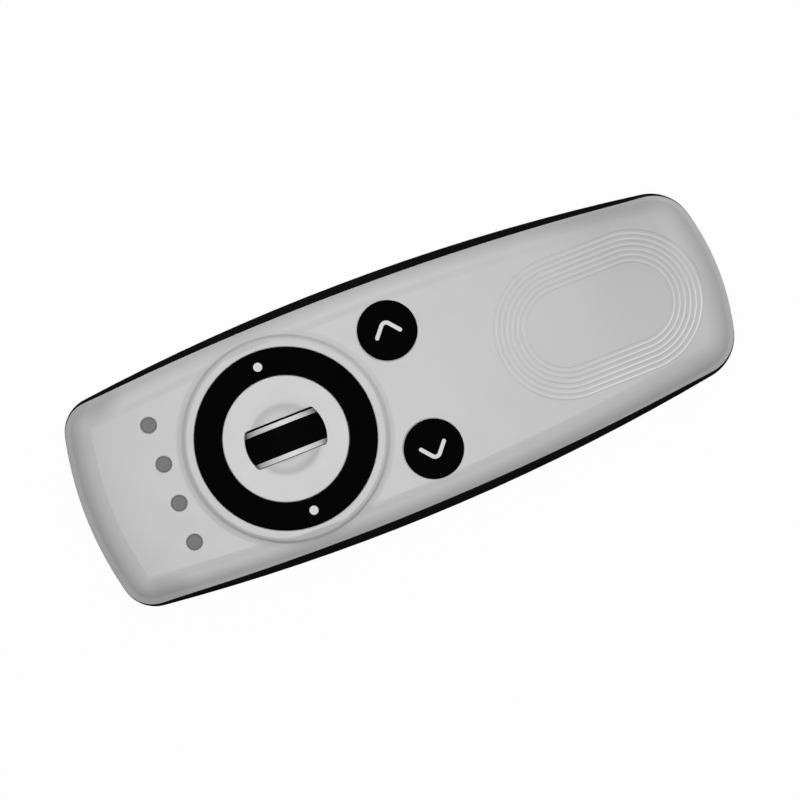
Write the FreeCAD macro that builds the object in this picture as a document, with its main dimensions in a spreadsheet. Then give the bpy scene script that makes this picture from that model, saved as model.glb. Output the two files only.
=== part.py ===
"""A hand-held smart remote control with a thumb wheel, a rocking ring and two keys.

The remote lies on its back. X runs along it, from the end with the four lights to the end with
the grip, Y across it and Z up from the face that it lies on. The origin is under its middle.
"""
import FreeCAD, Part
import math
import os
import Sketcher

V = FreeCAD.Vector
document = FreeCAD.newDocument("remote_control")

# Driving dimensions, in millimetres and degrees. Each row is a name, a value and what it measures.
DRIVING_DIMENSIONS = [
    ("case_length", 138.0, "end to end"),
    ("case_width", 50.6, "across the widest place"),
    ("widest_offset", -10.0, "the widest place, from the middle"),
    ("side_radius", 442.0, "bulge of the long sides in plan"),
    ("near_end_radius", 70.5, "bulge of the end with the lights"),
    ("far_end_radius", 50.0, "bulge of the end with the grip"),
    ("near_corner_radius", 7.3, "corners beside the lights"),
    ("far_corner_radius", 9.2, "corners beside the grip"),
    ("case_height", 20.0, "back to the top of the crown"),
    ("belt_height", 7.0, "height of the widest line"),
    ("side_draft", 13.5, "lean of the walls above the belt, degrees"),
    ("top_round", 5.0, "rounding of the top edge"),
    ("inside_round", 1.7, "rounding of that edge inside the shell"),
    ("bottom_round", 5.5, "rounding of the back edge"),
    ("crown_length_radius", 1800.0, "arch of the top along the case"),
    ("crown_width_radius", 800.0, "arch of the top across the case"),
    ("shell_wall", 1.8, "thickness of both shells"),
    ("split_height", 15.5, "height of the parting line at the middle"),
    ("split_radius", 380.0, "arch of the parting line"),
    ("split_bend", 52.0, "where that arch begins to turn down, from the middle"),
    ("split_end_radius", 52.0, "arch of the parting line at the ends"),
    ("split_gap", 0.15, "gap between the shells"),
    ("lip_rise", 0.8, "height of the lip that locates the cover"),
    ("lip_play", 0.1, "clearance round the lip"),
    ("ring_inset", 44.15, "ring's centre from the end with the lights"),
    ("ring_radius", 18.05, "outside of the ring"),
    ("ring_plate", 1.6, "thickness of the ring's face"),
    ("ring_skirt_wall", 1.4, "thickness of the ring's skirt"),
    ("ring_flange_reach", 1.2, "how far the ring's flange runs under the cover"),
    ("ring_flange_depth", 2.7, "top of the flange below the ring's face"),
    ("ring_flange_height", 1.2, "thickness of the flange"),
    ("ring_axis_depth", 4.0, "rocking axis below the ring's face"),
    ("trunnion_radius", 0.9, "pins that the ring rocks on"),
    ("trunnion_length", 2.1, "how far the pins stand out of the flange"),
    ("ring_mark_radius", 0.9, "white dots on the ring"),
    ("ring_mark_reach", 15.25, "dots and feet from the ring's centre"),
    ("mark_depth", 0.6, "depth of the inlaid marks"),
    ("collar_radius", 20.75, "foot of the raised collar round the ring"),
    ("collar_slope", 0.9, "width of the collar's slope"),
    ("collar_rise", 0.15, "collar above the top of the crown"),
    ("collar_round", 0.7, "rounding of the collar's edge"),
    ("collar_skin", 0.45, "collar above the rounded edge of the case"),
    ("moving_gap", 0.25, "gap round the ring, the keys and the disc"),
    ("edge_chamfer", 0.15, "bevel of the edges on the top"),
    ("disc_radius", 12.6, "centre disc"),
    ("disc_rise", 0.1, "centre disc above the ring"),
    ("disc_plate", 2.6, "thickness of the centre disc"),
    ("disc_skirt_wall", 1.2, "wall under the disc's rim"),
    ("disc_skirt_depth", 5.2, "depth of that wall"),
    ("dish_radius", 7.3, "finger dish round the wheel"),
    ("dish_depth", 0.9, "depth of the finger dish"),
    ("dish_round", 16.0, "easy rounding of the dish's rim"),
    ("slot_radius", 8.25, "round ends of the wheel's slot"),
    ("slot_half_width", 4.05, "half the width of the slot"),
    ("slot_shift", 0.15, "slot's middle from the wheel's middle"),
    ("slot_corner", 0.8, "corners of the slot"),
    ("leg_radius", 1.5, "legs under the disc"),
    ("leg_offset", 7.7, "legs from the centre, along and across"),
    ("wheel_radius", 8.5, "outside of the wheel's tyre"),
    ("wheel_rise", 0.9, "wheel above the ring's face"),
    ("wheel_width", 7.5, "over both rims"),
    ("tyre_width", 5.56, "rubber between the rims"),
    ("tyre_depth", 1.3, "thickness of the rubber"),
    ("rim_drop", 0.15, "rims below the rubber"),
    ("web_width", 3.0, "wheel's web"),
    ("axle_radius", 1.0, "wheel's axle"),
    ("running_play", 0.05, "radial clearance of the pins that turn"),
    ("fixed_play", 0.02, "radial clearance of what is pressed or inlaid"),
    ("magnet_radius", 2.0, "ring magnet on the axle"),
    ("magnet_width", 1.6, "ring magnet on the axle"),
    ("cradle_clearance", 0.5, "arms of the cradle beside the wheel"),
    ("cradle_wall", 1.2, "thickness of the arms"),
    ("cradle_half_height", 1.9, "half the height of the arms at the wheel"),
    ("pivot_reach", 14.0, "cradle's pivot from the wheel"),
    ("press_reach", 11.3, "cradle's press bar from the wheel"),
    ("press_bar", 2.6, "width of the press bar"),
    ("pivot_radius", 0.75, "cradle's hinge pin"),
    ("bracket_wall", 1.8, "posts that carry the hinge pin"),
    ("bracket_gap", 0.35, "posts beside the cradle"),
    ("key_offset", 26.62, "keys from the ring's centre, along"),
    ("key_spread", 12.66, "keys from the centre line"),
    ("key_radius", 5.8, "face of a key"),
    ("key_drop", 0.15, "key's face below the cover round it"),
    ("key_flange_reach", 1.1, "how far a key's flange runs under the cover"),
    ("key_flange_height", 1.1, "thickness of a key's flange"),
    ("flange_gap", 0.25, "flanges below the inside of the cover"),
    ("stem_radius", 2.0, "stems and feet that press the domes"),
    ("chevron_reach", 2.45, "half the width of a chevron, between the ends of its line"),
    ("chevron_stroke", 0.8, "width of its line"),
    ("chevron_bend", 1.0, "bend of its line"),
    ("chevron_top", 0.6, "centre of the bend beyond the key's centre"),
    ("chevron_foot", 0.775, "ends of its line before the key's centre"),
    ("light_inset", 19.7, "lights from their end"),
    ("light_pitch", 8.32, "from light to light"),
    ("light_radius", 1.6, "hole for a light"),
    ("light_drop", 0.05, "light's face below the cover round it"),
    ("light_flange_reach", 0.7, "light pipe's flange"),
    ("light_flange_height", 1.0, "light pipe's flange"),
    ("light_pipe_gap", 0.5, "light pipe above its diode"),
    ("diode_height", 0.8, "light diodes"),
    ("grip_inset", 26.84, "grip's centre from its end"),
    ("grip_straight", 14.2, "straight part of the grip's lines"),
    ("grip_inner_radius", 7.9, "innermost line"),
    ("grip_pitch", 1.08, "from line to line"),
    ("grip_line_width", 0.34, "width of a line"),
    ("grip_line_depth", 0.2, "depth of a line"),
    ("board_height", 6.8, "underside of the circuit board"),
    ("board_thickness", 1.2, "circuit board"),
    ("board_inset", 4.0, "board's edge inside the belt"),
    ("frame_thickness", 1.2, "frame on the board"),
    ("frame_inset", 4.4, "frame's edge inside the belt"),
    ("frame_tail", 9.5, "frame beyond the keys' centres"),
    ("frame_gap", 0.4, "frame round the wheel, the domes and the bosses"),
    ("dome_height", 3.0, "rubber domes"),
    ("dome_radius", 4.4, "foot of a dome"),
    ("dome_foot", 0.4, "thickness of the foot"),
    ("pill_radius", 1.4, "carbon pill in a dome"),
    ("pill_height", 0.6, "carbon pill in a dome"),
    ("pill_travel", 0.65, "pill above the board"),
    ("near_screw_inset", 9.0, "near case screws from their end"),
    ("near_screw_spread", 12.5, "near case screws from the centre line"),
    ("far_screw_inset", 10.5, "far case screws from their end"),
    ("far_screw_spread", 10.5, "far case screws from the centre line"),
    ("base_boss_radius", 3.4, "screw bosses of the base"),
    ("cover_boss_radius", 2.6, "screw bosses of the cover"),
    ("screw_head_radius", 2.3, "heads of the case screws"),
    ("screw_head_height", 1.5, "heads of the case screws"),
    ("screw_head_gap", 0.4, "counterbores round the heads"),
    ("screw_seat", 3.9, "height of the face that the heads seat on"),
    ("screw_radius", 1.2, "shanks of the case screws"),
    ("screw_reach", 5.0, "shanks into the cover's bosses"),
    ("screw_clearance", 0.15, "holes that the screws pass through"),
    ("disc_screw_radius", 0.8, "shanks of the screws in the disc's legs"),
    ("disc_screw_head_radius", 1.6, "their heads"),
    ("disc_screw_head_height", 1.1, "their heads"),
    ("disc_screw_reach", 4.5, "their shanks into the legs"),
    ("battery_inset", 35.0, "coin cell's centre from the end with the grip"),
    ("battery_radius", 12.25, "coin cell"),
    ("battery_height", 3.0, "coin cell"),
    ("battery_gap", 0.4, "coin cell to its well and the door"),
    ("well_wall", 1.0, "wall round the cell"),
    ("well_height", 6.2, "top of that wall"),
    ("door_inset", 52.5, "door's inner edge from the end with the grip"),
    ("door_half_width", 14.0, "door across the case"),
    ("door_recess", 0.2, "door inside the back face"),
    ("door_thickness", 1.6, "battery door"),
    ("tongue_reach", 1.2, "tongues that run in the base"),
    ("tongue_height", 0.7, "thickness of the tongues"),
    ("door_play", 0.15, "clearance round the door"),
    ("ledge_wall", 1.4, "base above the door and beside its tongues"),
    ("finger_line_inset", 5.0, "first finger line from the door's inner edge"),
    ("finger_line_pitch", 2.0, "from finger line to finger line"),
    ("finger_line_length", 13.0, "length of a finger line"),
    ("contact_strip", 0.3, "thickness of the battery contacts"),
    ("contact_width", 5.0, "width of the battery contacts"),
]

sheet = document.addObject("Spreadsheet::Sheet", "sizes")
for row, (alias, value, meaning) in enumerate(DRIVING_DIMENSIONS, start=1):
    sheet.set(f"A{row}", alias)
    sheet.set(f"B{row}", str(value))
    sheet.set(f"C{row}", meaning)
    sheet.setAlias(f"B{row}", alias)
document.recompute()

# Places that several pieces share, as expressions on the sheet.
NEAR_END = "(-sizes.case_length / 2)"
FAR_END = "(sizes.case_length / 2)"
RING_X = f"({NEAR_END} + sizes.ring_inset)"
KEY_X = f"({RING_X} + sizes.key_offset)"
LIGHT_X = f"({NEAR_END} + sizes.light_inset)"
GRIP_X = f"({FAR_END} - sizes.grip_inset)"
BATTERY_X = f"({FAR_END} - sizes.battery_inset)"
DOOR_X = f"({FAR_END} - sizes.door_inset)"
DECK = "(sizes.case_height + sizes.collar_rise)"
DISC_TOP = f"({DECK} + sizes.disc_rise)"
RING_AXIS_Z = f"({DECK} - sizes.ring_axis_depth)"
WHEEL_Z = f"({DECK} + sizes.wheel_rise - sizes.wheel_radius)"
BOARD_TOP = "(sizes.board_height + sizes.board_thickness)"
FRAME_TOP = f"({BOARD_TOP} + sizes.frame_thickness)"
DOME_TOP = f"({BOARD_TOP} + sizes.dome_height)"
DOOR_TOP = "(sizes.door_recess + sizes.door_thickness)"
BATTERY_Z = f"({DOOR_TOP} + sizes.battery_gap)"
BATTERY_TOP = f"({BATTERY_Z} + sizes.battery_height)"
CRADLE_INSIDE = "(sizes.wheel_width / 2 + sizes.cradle_clearance)"
CRADLE_OUTSIDE = f"({CRADLE_INSIDE} + sizes.cradle_wall)"
FLANGE_RADIUS = "(sizes.ring_radius + sizes.ring_flange_reach)"
TRUNNION_END = f"({FLANGE_RADIUS} + sizes.trunnion_length)"

# Counts, and a length that is only ever enough to reach past the case.
OUTSIDE = 5.0
GRIP_LINES = 7
LIGHTS = 4
FINGER_LINES = 5

parts = {}


def keep(label, piece):
    """Names a finished sub-part and lists it for export."""
    piece.Label = label
    parts[label] = piece
    return piece


def number(expression):
    """The present value of an expression on the sheet."""
    return float(sheet.evalExpression(expression))


def crown_height(x, y="0"):
    """Height of the cover's face over a point."""
    along = f"({x} - {RING_X})^2 / (2 * sizes.crown_length_radius)"
    across = f"({y})^2 / (2 * sizes.crown_width_radius)"
    return f"(sizes.case_height - {along} - {across})"


# Sketches. Every point and radius is tied to the sheet by an expression.
def new_body(name):
    return document.addObject("PartDesign::Body", name)


def place(piece, x="0", y="0", z="0"):
    """Ties a piece's position to the sheet."""
    for axis, expression in (("x", x), ("y", y), ("z", z)):
        piece.setExpression(f"Placement.Base.{axis}", expression)
    return piece


def new_sketch(body, plane="XY_Plane", height="0"):
    """A sketch on one of the body's own planes, moved along the plane's normal."""
    sketch = body.newObject("Sketcher::SketchObject", f"{body.Name}_sketch")
    support = [origin for origin in body.Origin.OriginFeatures if origin.Role == plane]
    sketch.AttachmentSupport = [(support[0], "")]
    sketch.MapMode = "FlatFace"
    sketch.setExpression("AttachmentOffset.Base.z", height)
    return sketch


def tie(sketch, kind, references, expression):
    """Adds one dimension to a sketch and ties it to the sheet."""
    index = sketch.addConstraint(Sketcher.Constraint(kind, *references, number(expression)))
    name = f"{kind}_{index}"
    sketch.renameConstraint(index, name)
    sketch.setExpression(f"Constraints.{name}", expression)


def tie_point(sketch, edge, end, x, y):
    """Ties a point of an edge to the sketch's origin. Ends are 1 start, 2 end and 3 centre."""
    tie(sketch, "DistanceX", (-1, 1, edge, end), x)
    tie(sketch, "DistanceY", (-1, 1, edge, end), y)


def join(sketch, edges, kind="Coincident"):
    """Joins the end of each edge to the start of the next, and the last to the first."""
    for edge, following in zip(edges, edges[1:] + edges[:1]):
        sketch.addConstraint(Sketcher.Constraint(kind, edge, 2, following, 1))


def draw_circle(sketch, radius, x="0", y="0"):
    centre = V(number(x), number(y), 0)
    edge = sketch.addGeometry(Part.Circle(centre, V(0, 0, 1), number(radius)))
    tie_point(sketch, edge, 3, x, y)
    tie(sketch, "Radius", (edge,), radius)


def draw_polygon(sketch, points):
    """A closed polygon whose corners are pairs of expressions."""
    at = [V(number(x), number(y), 0) for x, y in points]
    edges = [sketch.addGeometry(Part.LineSegment(a, b)) for a, b in zip(at, at[1:] + at[:1])]
    join(sketch, edges)
    for edge, (x, y) in zip(edges, points):
        tie_point(sketch, edge, 1, x, y)


def draw_rectangle(sketch, x0, x1, y0, y1):
    draw_polygon(sketch, [(x0, y0), (x1, y0), (x1, y1), (x0, y1)])


def arc_between(centre, radius, start, end):
    """An arc that runs anticlockwise from one direction to another, in radians."""
    while end < start:
        end += 2 * math.pi
    return Part.ArcOfCircle(Part.Circle(centre, V(0, 0, 1), radius), start, end)


def draw_stadium(sketch, radius, straight):
    """A stadium along X: two half circles whose centres are a straight length apart."""
    half, r = number(straight) / 2, number(radius)
    quarter = math.pi / 2
    shapes = [
        arc_between(V(half, 0, 0), r, -quarter, quarter),
        Part.LineSegment(V(half, r, 0), V(-half, r, 0)),
        arc_between(V(-half, 0, 0), r, quarter, 3 * quarter),
        Part.LineSegment(V(-half, -r, 0), V(half, -r, 0)),
    ]
    edges = [sketch.addGeometry(shape) for shape in shapes]
    join(sketch, edges, "Tangent")
    tie_point(sketch, edges[0], 3, f"{straight} / 2", "0")
    tie_point(sketch, edges[2], 3, f"-{straight} / 2", "0")
    tie(sketch, "Radius", (edges[0],), radius)


def draw_arch(sketch, centre_height, radius, reach, roof):
    """The region between an arc, symmetric about the upright axis, and a level roof."""
    centre, r, half, top = V(0, number(centre_height), 0), number(radius), number(reach), number(roof)
    lean = math.asin(half / r)
    arc = arc_between(centre, r, math.pi / 2 - lean, math.pi / 2 + lean)
    shapes = [
        arc,
        Part.LineSegment(arc.EndPoint, V(-half, top, 0)),
        Part.LineSegment(V(-half, top, 0), V(half, top, 0)),
        Part.LineSegment(V(half, top, 0), arc.StartPoint),
    ]
    edges = [sketch.addGeometry(shape) for shape in shapes]
    join(sketch, edges)
    for edge, kind in zip(edges[1:], ("Vertical", "Horizontal", "Vertical")):
        sketch.addConstraint(Sketcher.Constraint(kind, edge))
    tie_point(sketch, edges[0], 3, "0", centre_height)
    tie(sketch, "Radius", (edges[0],), radius)
    tie(sketch, "DistanceX", (-1, 1, edges[0], 1), reach)
    tie(sketch, "DistanceX", (-1, 1, edges[0], 2), f"-{reach}")
    tie(sketch, "DistanceY", (-1, 1, edges[2], 1), roof)


# Features.
def pad(body, sketch, length, symmetric=False, backwards=False):
    feature = body.newObject("PartDesign::Pad", f"{body.Name}_pad")
    feature.Profile = sketch
    feature.SideType = "Symmetric" if symmetric else "One side"
    feature.Reversed = backwards
    feature.setExpression("Length", length)
    return feature


def pocket(body, sketch, depth, symmetric=False, backwards=False):
    """Cuts against the sketch's normal, or along it when backwards."""
    feature = body.newObject("PartDesign::Pocket", f"{body.Name}_pocket")
    feature.Profile = sketch
    feature.SideType = "Symmetric" if symmetric else "One side"
    feature.Reversed = backwards
    feature.setExpression("Length", depth)
    return feature


def turn(body, profile, plane="XZ_Plane"):
    """Revolves a closed profile of radius and height about the sketch's upright axis."""
    sketch = new_sketch(body, plane)
    draw_polygon(sketch, profile)
    feature = body.newObject("PartDesign::Revolution", f"{body.Name}_turned")
    feature.Profile = sketch
    feature.ReferenceAxis = (sketch, ["V_Axis"])
    feature.Angle = 360
    return feature


def turned(name, profile, plane="XZ_Plane"):
    body = new_body(name)
    turn(body, profile, plane)
    return body


def round_edges(body, radius, chosen):
    """Rounds the edges of the body so far that a test picks."""
    document.recompute()
    base = body.Tip
    names = [f"Edge{i}" for i, edge in enumerate(base.Shape.Edges, start=1) if chosen(edge)]
    feature = body.newObject("PartDesign::Fillet", f"{body.Name}_rounded")
    feature.Base = (base, names)
    feature.setExpression("Radius", radius)
    return feature


def low(edge):
    return min(vertex.Z for vertex in edge.Vertexes)


def high(edge):
    return max(vertex.Z for vertex in edge.Vertexes)


# Booleans between finished solids.
def cut(name, base, tools):
    """A base less one tool or several."""
    piece = document.addObject("Part::Cut", name)
    piece.Base = base
    piece.Tool = fuse(f"{name}_tools", tools) if len(tools) > 1 else tools[0]
    return piece


def fuse(name, pieces):
    piece = document.addObject("Part::MultiFuse", name)
    piece.Shapes = pieces
    return piece


def common(name, base, tool):
    piece = document.addObject("Part::Common", name)
    piece.Base = base
    piece.Tool = tool
    return piece


def group(name, pieces):
    """Identical pieces that share one node."""
    piece = document.addObject("Part::Compound", name)
    piece.Links = pieces
    return piece


def cylinder(name, radius, height, x="0", y="0", z="0"):
    piece = document.addObject("Part::Cylinder", name)
    piece.setExpression("Radius", radius)
    piece.setExpression("Height", height)
    return place(piece, x, y, z)


def block(name, length, width, height, x="0", y="0", z="0"):
    """A box centred on x and y, standing on z."""
    piece = document.addObject("Part::Box", name)
    piece.setExpression("Length", length)
    piece.setExpression("Width", width)
    piece.setExpression("Height", height)
    return place(piece, f"{x} - ({length}) / 2", f"{y} - ({width}) / 2", z)


# The case. Its outline in plan has two long bulged sides, two bulged ends and four corners.
def draw_outline(sketch, inset):
    """The belt's outline moved inwards. The centres stay, so the inset line is parallel."""
    names = ("case_length", "case_width", "side_radius", "widest_offset", "near_end_radius")
    length, width, side, widest, near = [number(f"sizes.{name}") for name in names]
    far, near_corner, far_corner = [
        number(f"sizes.{name}") for name in ("far_end_radius", "near_corner_radius", "far_corner_radius")
    ]
    near_centre, far_centre = V(near - length / 2, 0, 0), V(length / 2 - far, 0, 0)
    upper_centre = V(widest, width / 2 - side, 0)

    def corner(end_centre, end_radius, radius, sign):
        """Centre of a corner that touches an end and the upper side from inside."""
        a, b = end_radius - radius, side - radius
        between = upper_centre - end_centre
        gap = between.Length
        along = (a * a - b * b + gap * gap) / (2 * gap)
        across = math.sqrt(a * a - along * along)
        return end_centre + between * (along / gap) + V(-between.y, between.x, 0) * (sign * across / gap)

    def below(point):
        return V(point.x, -point.y, 0)

    far_upper = corner(far_centre, far, far_corner, 1)
    near_upper = corner(near_centre, near, near_corner, -1)
    loop = [
        (far_centre, far, "far_end"),
        (far_upper, far_corner, "far_corner"),
        (upper_centre, side, "side"),
        (near_upper, near_corner, "near_corner"),
        (near_centre, near, "near_end"),
        (below(near_upper), near_corner, "near_corner"),
        (below(upper_centre), side, "side"),
        (below(far_upper), far_corner, "far_corner"),
    ]
    headings = []
    for (centre, radius, _), (next_centre, next_radius, _) in zip(loop, loop[1:] + loop[:1]):
        outward = next_centre - centre if radius > next_radius else centre - next_centre
        headings.append(math.atan2(outward.y, outward.x))
    edges = []
    for i, (centre, radius, _) in enumerate(loop):
        arc = arc_between(centre, radius - number(inset), headings[i - 1], headings[i])
        edges.append(sketch.addGeometry(arc))
    join(sketch, edges, "Tangent")
    tie_point(sketch, edges[0], 3, f"{FAR_END} - sizes.far_end_radius", "0")
    tie_point(sketch, edges[2], 3, "sizes.widest_offset", "sizes.case_width / 2 - sizes.side_radius")
    tie_point(sketch, edges[4], 3, f"{NEAR_END} + sizes.near_end_radius", "0")
    tie_point(sketch, edges[6], 3, "sizes.widest_offset", "sizes.side_radius - sizes.case_width / 2")
    for edge, (_, _, name) in zip(edges, loop):
        tie(sketch, "Radius", (edge,), f"sizes.{name}_radius - ({inset})")


def envelope(name, inset, top_round=None):
    """The whole case as one solid, with every face moved inwards by the inset.

    The top edge's rounding shrinks by the inset too, unless it is given."""
    body = new_body(name)
    top = f"(sizes.case_height + {OUTSIDE})"
    belt = new_sketch(body, height="sizes.belt_height")
    draw_outline(belt, inset)
    above = new_sketch(body, height=top)
    draw_outline(above, f"{inset} + ({top} - sizes.belt_height) * tan(sizes.side_draft * 1 deg)")
    loft = body.newObject("PartDesign::AdditiveLoft", f"{name}_upper")
    loft.Profile = belt
    loft.Sections = [above]
    loft.Ruled = True
    pad(body, belt, f"sizes.belt_height - ({inset})", backwards=True)

    # The crown is an arc across the case, swept along it round a larger arc.
    apex = f"(sizes.case_height - ({inset}))"
    crown = new_sketch(body, "YZ_Plane", RING_X)
    draw_arch(crown, f"{apex} - sizes.crown_width_radius", "sizes.crown_width_radius",
              "sizes.case_width", f"{top} + {OUTSIDE}")
    sweep_height = f"{apex} - sizes.crown_length_radius"
    ends = [V(x, number(sweep_height), 0) for x in (-1, 1)]
    axis = crown.addGeometry(Part.LineSegment(*ends), True)
    tie_point(crown, axis, 1, "-1", sweep_height)
    tie_point(crown, axis, 2, "1", sweep_height)
    groove = body.newObject("PartDesign::Groove", f"{name}_crown")
    groove.Profile = crown
    groove.ReferenceAxis = (crown, ["Axis0"])
    groove.Midplane = True
    groove.setExpression("Angle", "2 * sizes.case_length / sizes.crown_length_radius * 180 / pi")

    belt_line = number("sizes.belt_height")
    floor = number(inset)
    round_edges(body, top_round or f"sizes.top_round - ({inset})", lambda edge: low(edge) > belt_line + 1)
    round_edges(body, f"sizes.bottom_round - ({inset})", lambda edge: high(edge) < floor + 1e-3)
    return body


def draw_parting(sketch, rise):
    """The region above the parting line, which is a wide arc with a tighter one at each end."""
    height, reach = f"sizes.split_height + {rise} - sizes.split_radius", f"({FAR_END} + {OUTSIDE})"
    roof = f"(sizes.case_height + {OUTSIDE})"
    wide, tight = number("sizes.split_radius"), number("sizes.split_end_radius")
    up, lean = math.pi / 2, math.asin(number("sizes.split_bend") / wide)
    middle = V(0, number(height), 0)
    right = middle + V(math.sin(lean), math.cos(lean), 0) * (wide - tight)
    end_lean = math.asin((number(reach) - right.x) / tight)
    arcs = [
        arc_between(right, tight, up - end_lean, up - lean),
        arc_between(middle, wide, up - lean, up + lean),
        arc_between(V(-right.x, right.y, 0), tight, up + lean, up + end_lean),
    ]
    corners = [V(sign * number(reach), number(roof), 0) for sign in (-1, 1)]
    walls = [
        Part.LineSegment(arcs[2].EndPoint, corners[0]),
        Part.LineSegment(corners[0], corners[1]),
        Part.LineSegment(corners[1], arcs[0].StartPoint),
    ]
    edges = [sketch.addGeometry(shape) for shape in arcs + walls]
    for first, second in zip(edges[:2], edges[1:3]):
        sketch.addConstraint(Sketcher.Constraint("Tangent", first, 2, second, 1))
    for first, second in zip(edges[2:], edges[3:] + edges[:1]):
        sketch.addConstraint(Sketcher.Constraint("Coincident", first, 2, second, 1))
    for edge, kind in zip(edges[3:], ("Vertical", "Horizontal", "Vertical")):
        sketch.addConstraint(Sketcher.Constraint(kind, edge))
    tie_point(sketch, edges[1], 3, "0", height)
    for edge, radius in zip(edges, ("end_radius", "radius", "end_radius")):
        tie(sketch, "Radius", (edge,), f"sizes.split_{radius}")
    for edge, end, x in ((0, 1, reach), (1, 1, "sizes.split_bend"), (1, 2, "-sizes.split_bend"), (2, 2, f"-{reach}")):
        tie(sketch, "DistanceX", (-1, 1, edges[edge], end), x)
    tie(sketch, "DistanceY", (-1, 1, edges[4], 1), roof)


def above_split(name, rise):
    """Everything above the parting line, moved up by a rise."""
    body = new_body(name)
    sketch = new_sketch(body, "XZ_Plane")
    draw_parting(sketch, rise)
    pad(body, sketch, f"sizes.case_width + 2 * {OUTSIDE}", symmetric=True)
    return body


case_outside = envelope("case_outside", "0")
case_inside = envelope("case_inside", "sizes.shell_wall", "sizes.inside_round")
case_lip = envelope("case_lip", "(sizes.shell_wall + sizes.lip_play) / 2")
case_rabbet = envelope("case_rabbet", "(sizes.shell_wall - sizes.lip_play) / 2")
case_wall = cut("case_wall", case_outside, [case_inside])
above_base = above_split("above_base", "0")
above_gap = above_split("above_gap", "sizes.split_gap")
above_lip = above_split("above_lip", "sizes.lip_rise")
above_rabbet = above_split("above_rabbet", "(sizes.lip_rise + sizes.split_gap)")

SCREW_PLACES = [
    (f"({NEAR_END} + sizes.near_screw_inset)", "sizes.near_screw_spread"),
    (f"({NEAR_END} + sizes.near_screw_inset)", "-sizes.near_screw_spread"),
    (f"({FAR_END} - sizes.far_screw_inset)", "sizes.far_screw_spread"),
    (f"({FAR_END} - sizes.far_screw_inset)", "-sizes.far_screw_spread"),
]
NEAR_SCREWS = SCREW_PLACES[:2]
LIGHT_SPREADS = [f"({i - (LIGHTS - 1) / 2} * sizes.light_pitch)" for i in range(LIGHTS)]
SIDES = (("right", "1"), ("left", "-1"))
LEG_PLACES = [
    (f"({RING_X} + {along} * sizes.leg_offset)", f"({across} * sizes.leg_offset)")
    for along in (1, -1) for across in (1, -1)
]


def columns(name, radius, height, places, z):
    """Equal upright cylinders at several places."""
    return [
        cylinder(f"{name}_{i}", radius, height, x, y, z) for i, (x, y) in enumerate(places)
    ]


# The top cover: shell, raised collar and screw bosses, less its openings and the grip's lines.
def opening(name, radius, x, y, face):
    """A round hole through the cover whose edge is bevelled where it meets the face."""
    tool = turned(name, [
        ("0", BOARD_TOP),
        (radius, BOARD_TOP),
        (radius, f"{face} - sizes.edge_chamfer"),
        (f"{radius} + sizes.edge_chamfer + {OUTSIDE}", f"{face} + {OUTSIDE}"),
        ("0", f"{face} + {OUTSIDE}"),
    ])
    return place(tool, x, y)


collar = turned("collar", [
    ("0", "sizes.case_height - sizes.shell_wall"),
    ("sizes.collar_radius", "sizes.case_height - sizes.shell_wall"),
    ("sizes.collar_radius", f"{DECK} - sizes.collar_slope / 2"),
    ("sizes.collar_radius - sizes.collar_slope", DECK),
    ("0", DECK),
])
collar_edge = number("sizes.collar_radius - sizes.collar_slope")
round_edges(collar, "sizes.collar_round", lambda edge: abs(edge.BoundBox.XMax - collar_edge) < 1e-3
            and abs(low(edge) - number(DECK)) < 1e-3)
place(collar, RING_X)
collar_skin = envelope("collar_skin", "-sizes.collar_skin")
collar_band = common("collar_band", collar, collar_skin)
cover_bosses = [
    cylinder(f"cover_boss_{i}", "sizes.cover_boss_radius",
             f"{crown_height(x, y)} - sizes.shell_wall / 2 - {BOARD_TOP}", x, y, BOARD_TOP)
    for i, (x, y) in enumerate(SCREW_PLACES)
]
cover_pilots = columns("cover_pilot", "sizes.screw_radius + sizes.fixed_play",
                       "sizes.screw_reach + sizes.screw_head_gap", SCREW_PLACES, BOARD_TOP)
ring_opening = opening("ring_opening", "(sizes.ring_radius + sizes.moving_gap)", RING_X, "0", DECK)
cover_holes = [ring_opening]
for side, sign in SIDES:
    spread = f"({sign} * sizes.key_spread)"
    cover_holes.append(opening(f"{side}_opening", "(sizes.key_radius + sizes.moving_gap)",
                               KEY_X, spread, crown_height(KEY_X, spread)))
for i, spread in enumerate(LIGHT_SPREADS):
    cover_holes.append(opening(f"light_opening_{i}", "sizes.light_radius",
                               LIGHT_X, spread, crown_height(LIGHT_X, spread)))

grip_walls = new_body("grip_walls")
grip_sketch = new_sketch(grip_walls, height="sizes.split_height")
for i in range(GRIP_LINES):
    for edge in ("-", "+"):
        draw_stadium(grip_sketch, f"sizes.grip_inner_radius + {i} * sizes.grip_pitch"
                     f" {edge} sizes.grip_line_width / 2", "sizes.grip_straight")
pad(grip_walls, grip_sketch, f"sizes.case_height - sizes.split_height + {OUTSIDE}")
place(grip_walls, GRIP_X)
grip_floor = envelope("grip_floor", "sizes.grip_line_depth")
grip_lines = cut("grip_lines", grip_walls, [grip_floor])

cover_shell = common("cover_shell", case_wall, above_gap)
cover_rabbet = cut("cover_rabbet", case_rabbet, [above_rabbet])
cover_solid = fuse("cover_solid", [cut("cover_rim", cover_shell, [cover_rabbet]), collar_band] + cover_bosses)
keep("top_cover", cut("top_cover", cover_solid, cover_holes + cover_pilots + [grip_lines]))

# The base: shell, lip, bosses, the board's supports, the battery's well and the door's run.
door_run_top = f"({DOOR_TOP} + sizes.door_play)"
door_side = "(sizes.door_half_width + sizes.door_play)"
tongue_side = f"({door_side} + sizes.tongue_reach)"
door_run_length = f"(sizes.door_inset + sizes.door_play + {OUTSIDE})"
door_run_x = f"({DOOR_X} - sizes.door_play + {door_run_length} / 2)"
tongue_z = f"({DOOR_TOP} - sizes.tongue_height)"

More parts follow.
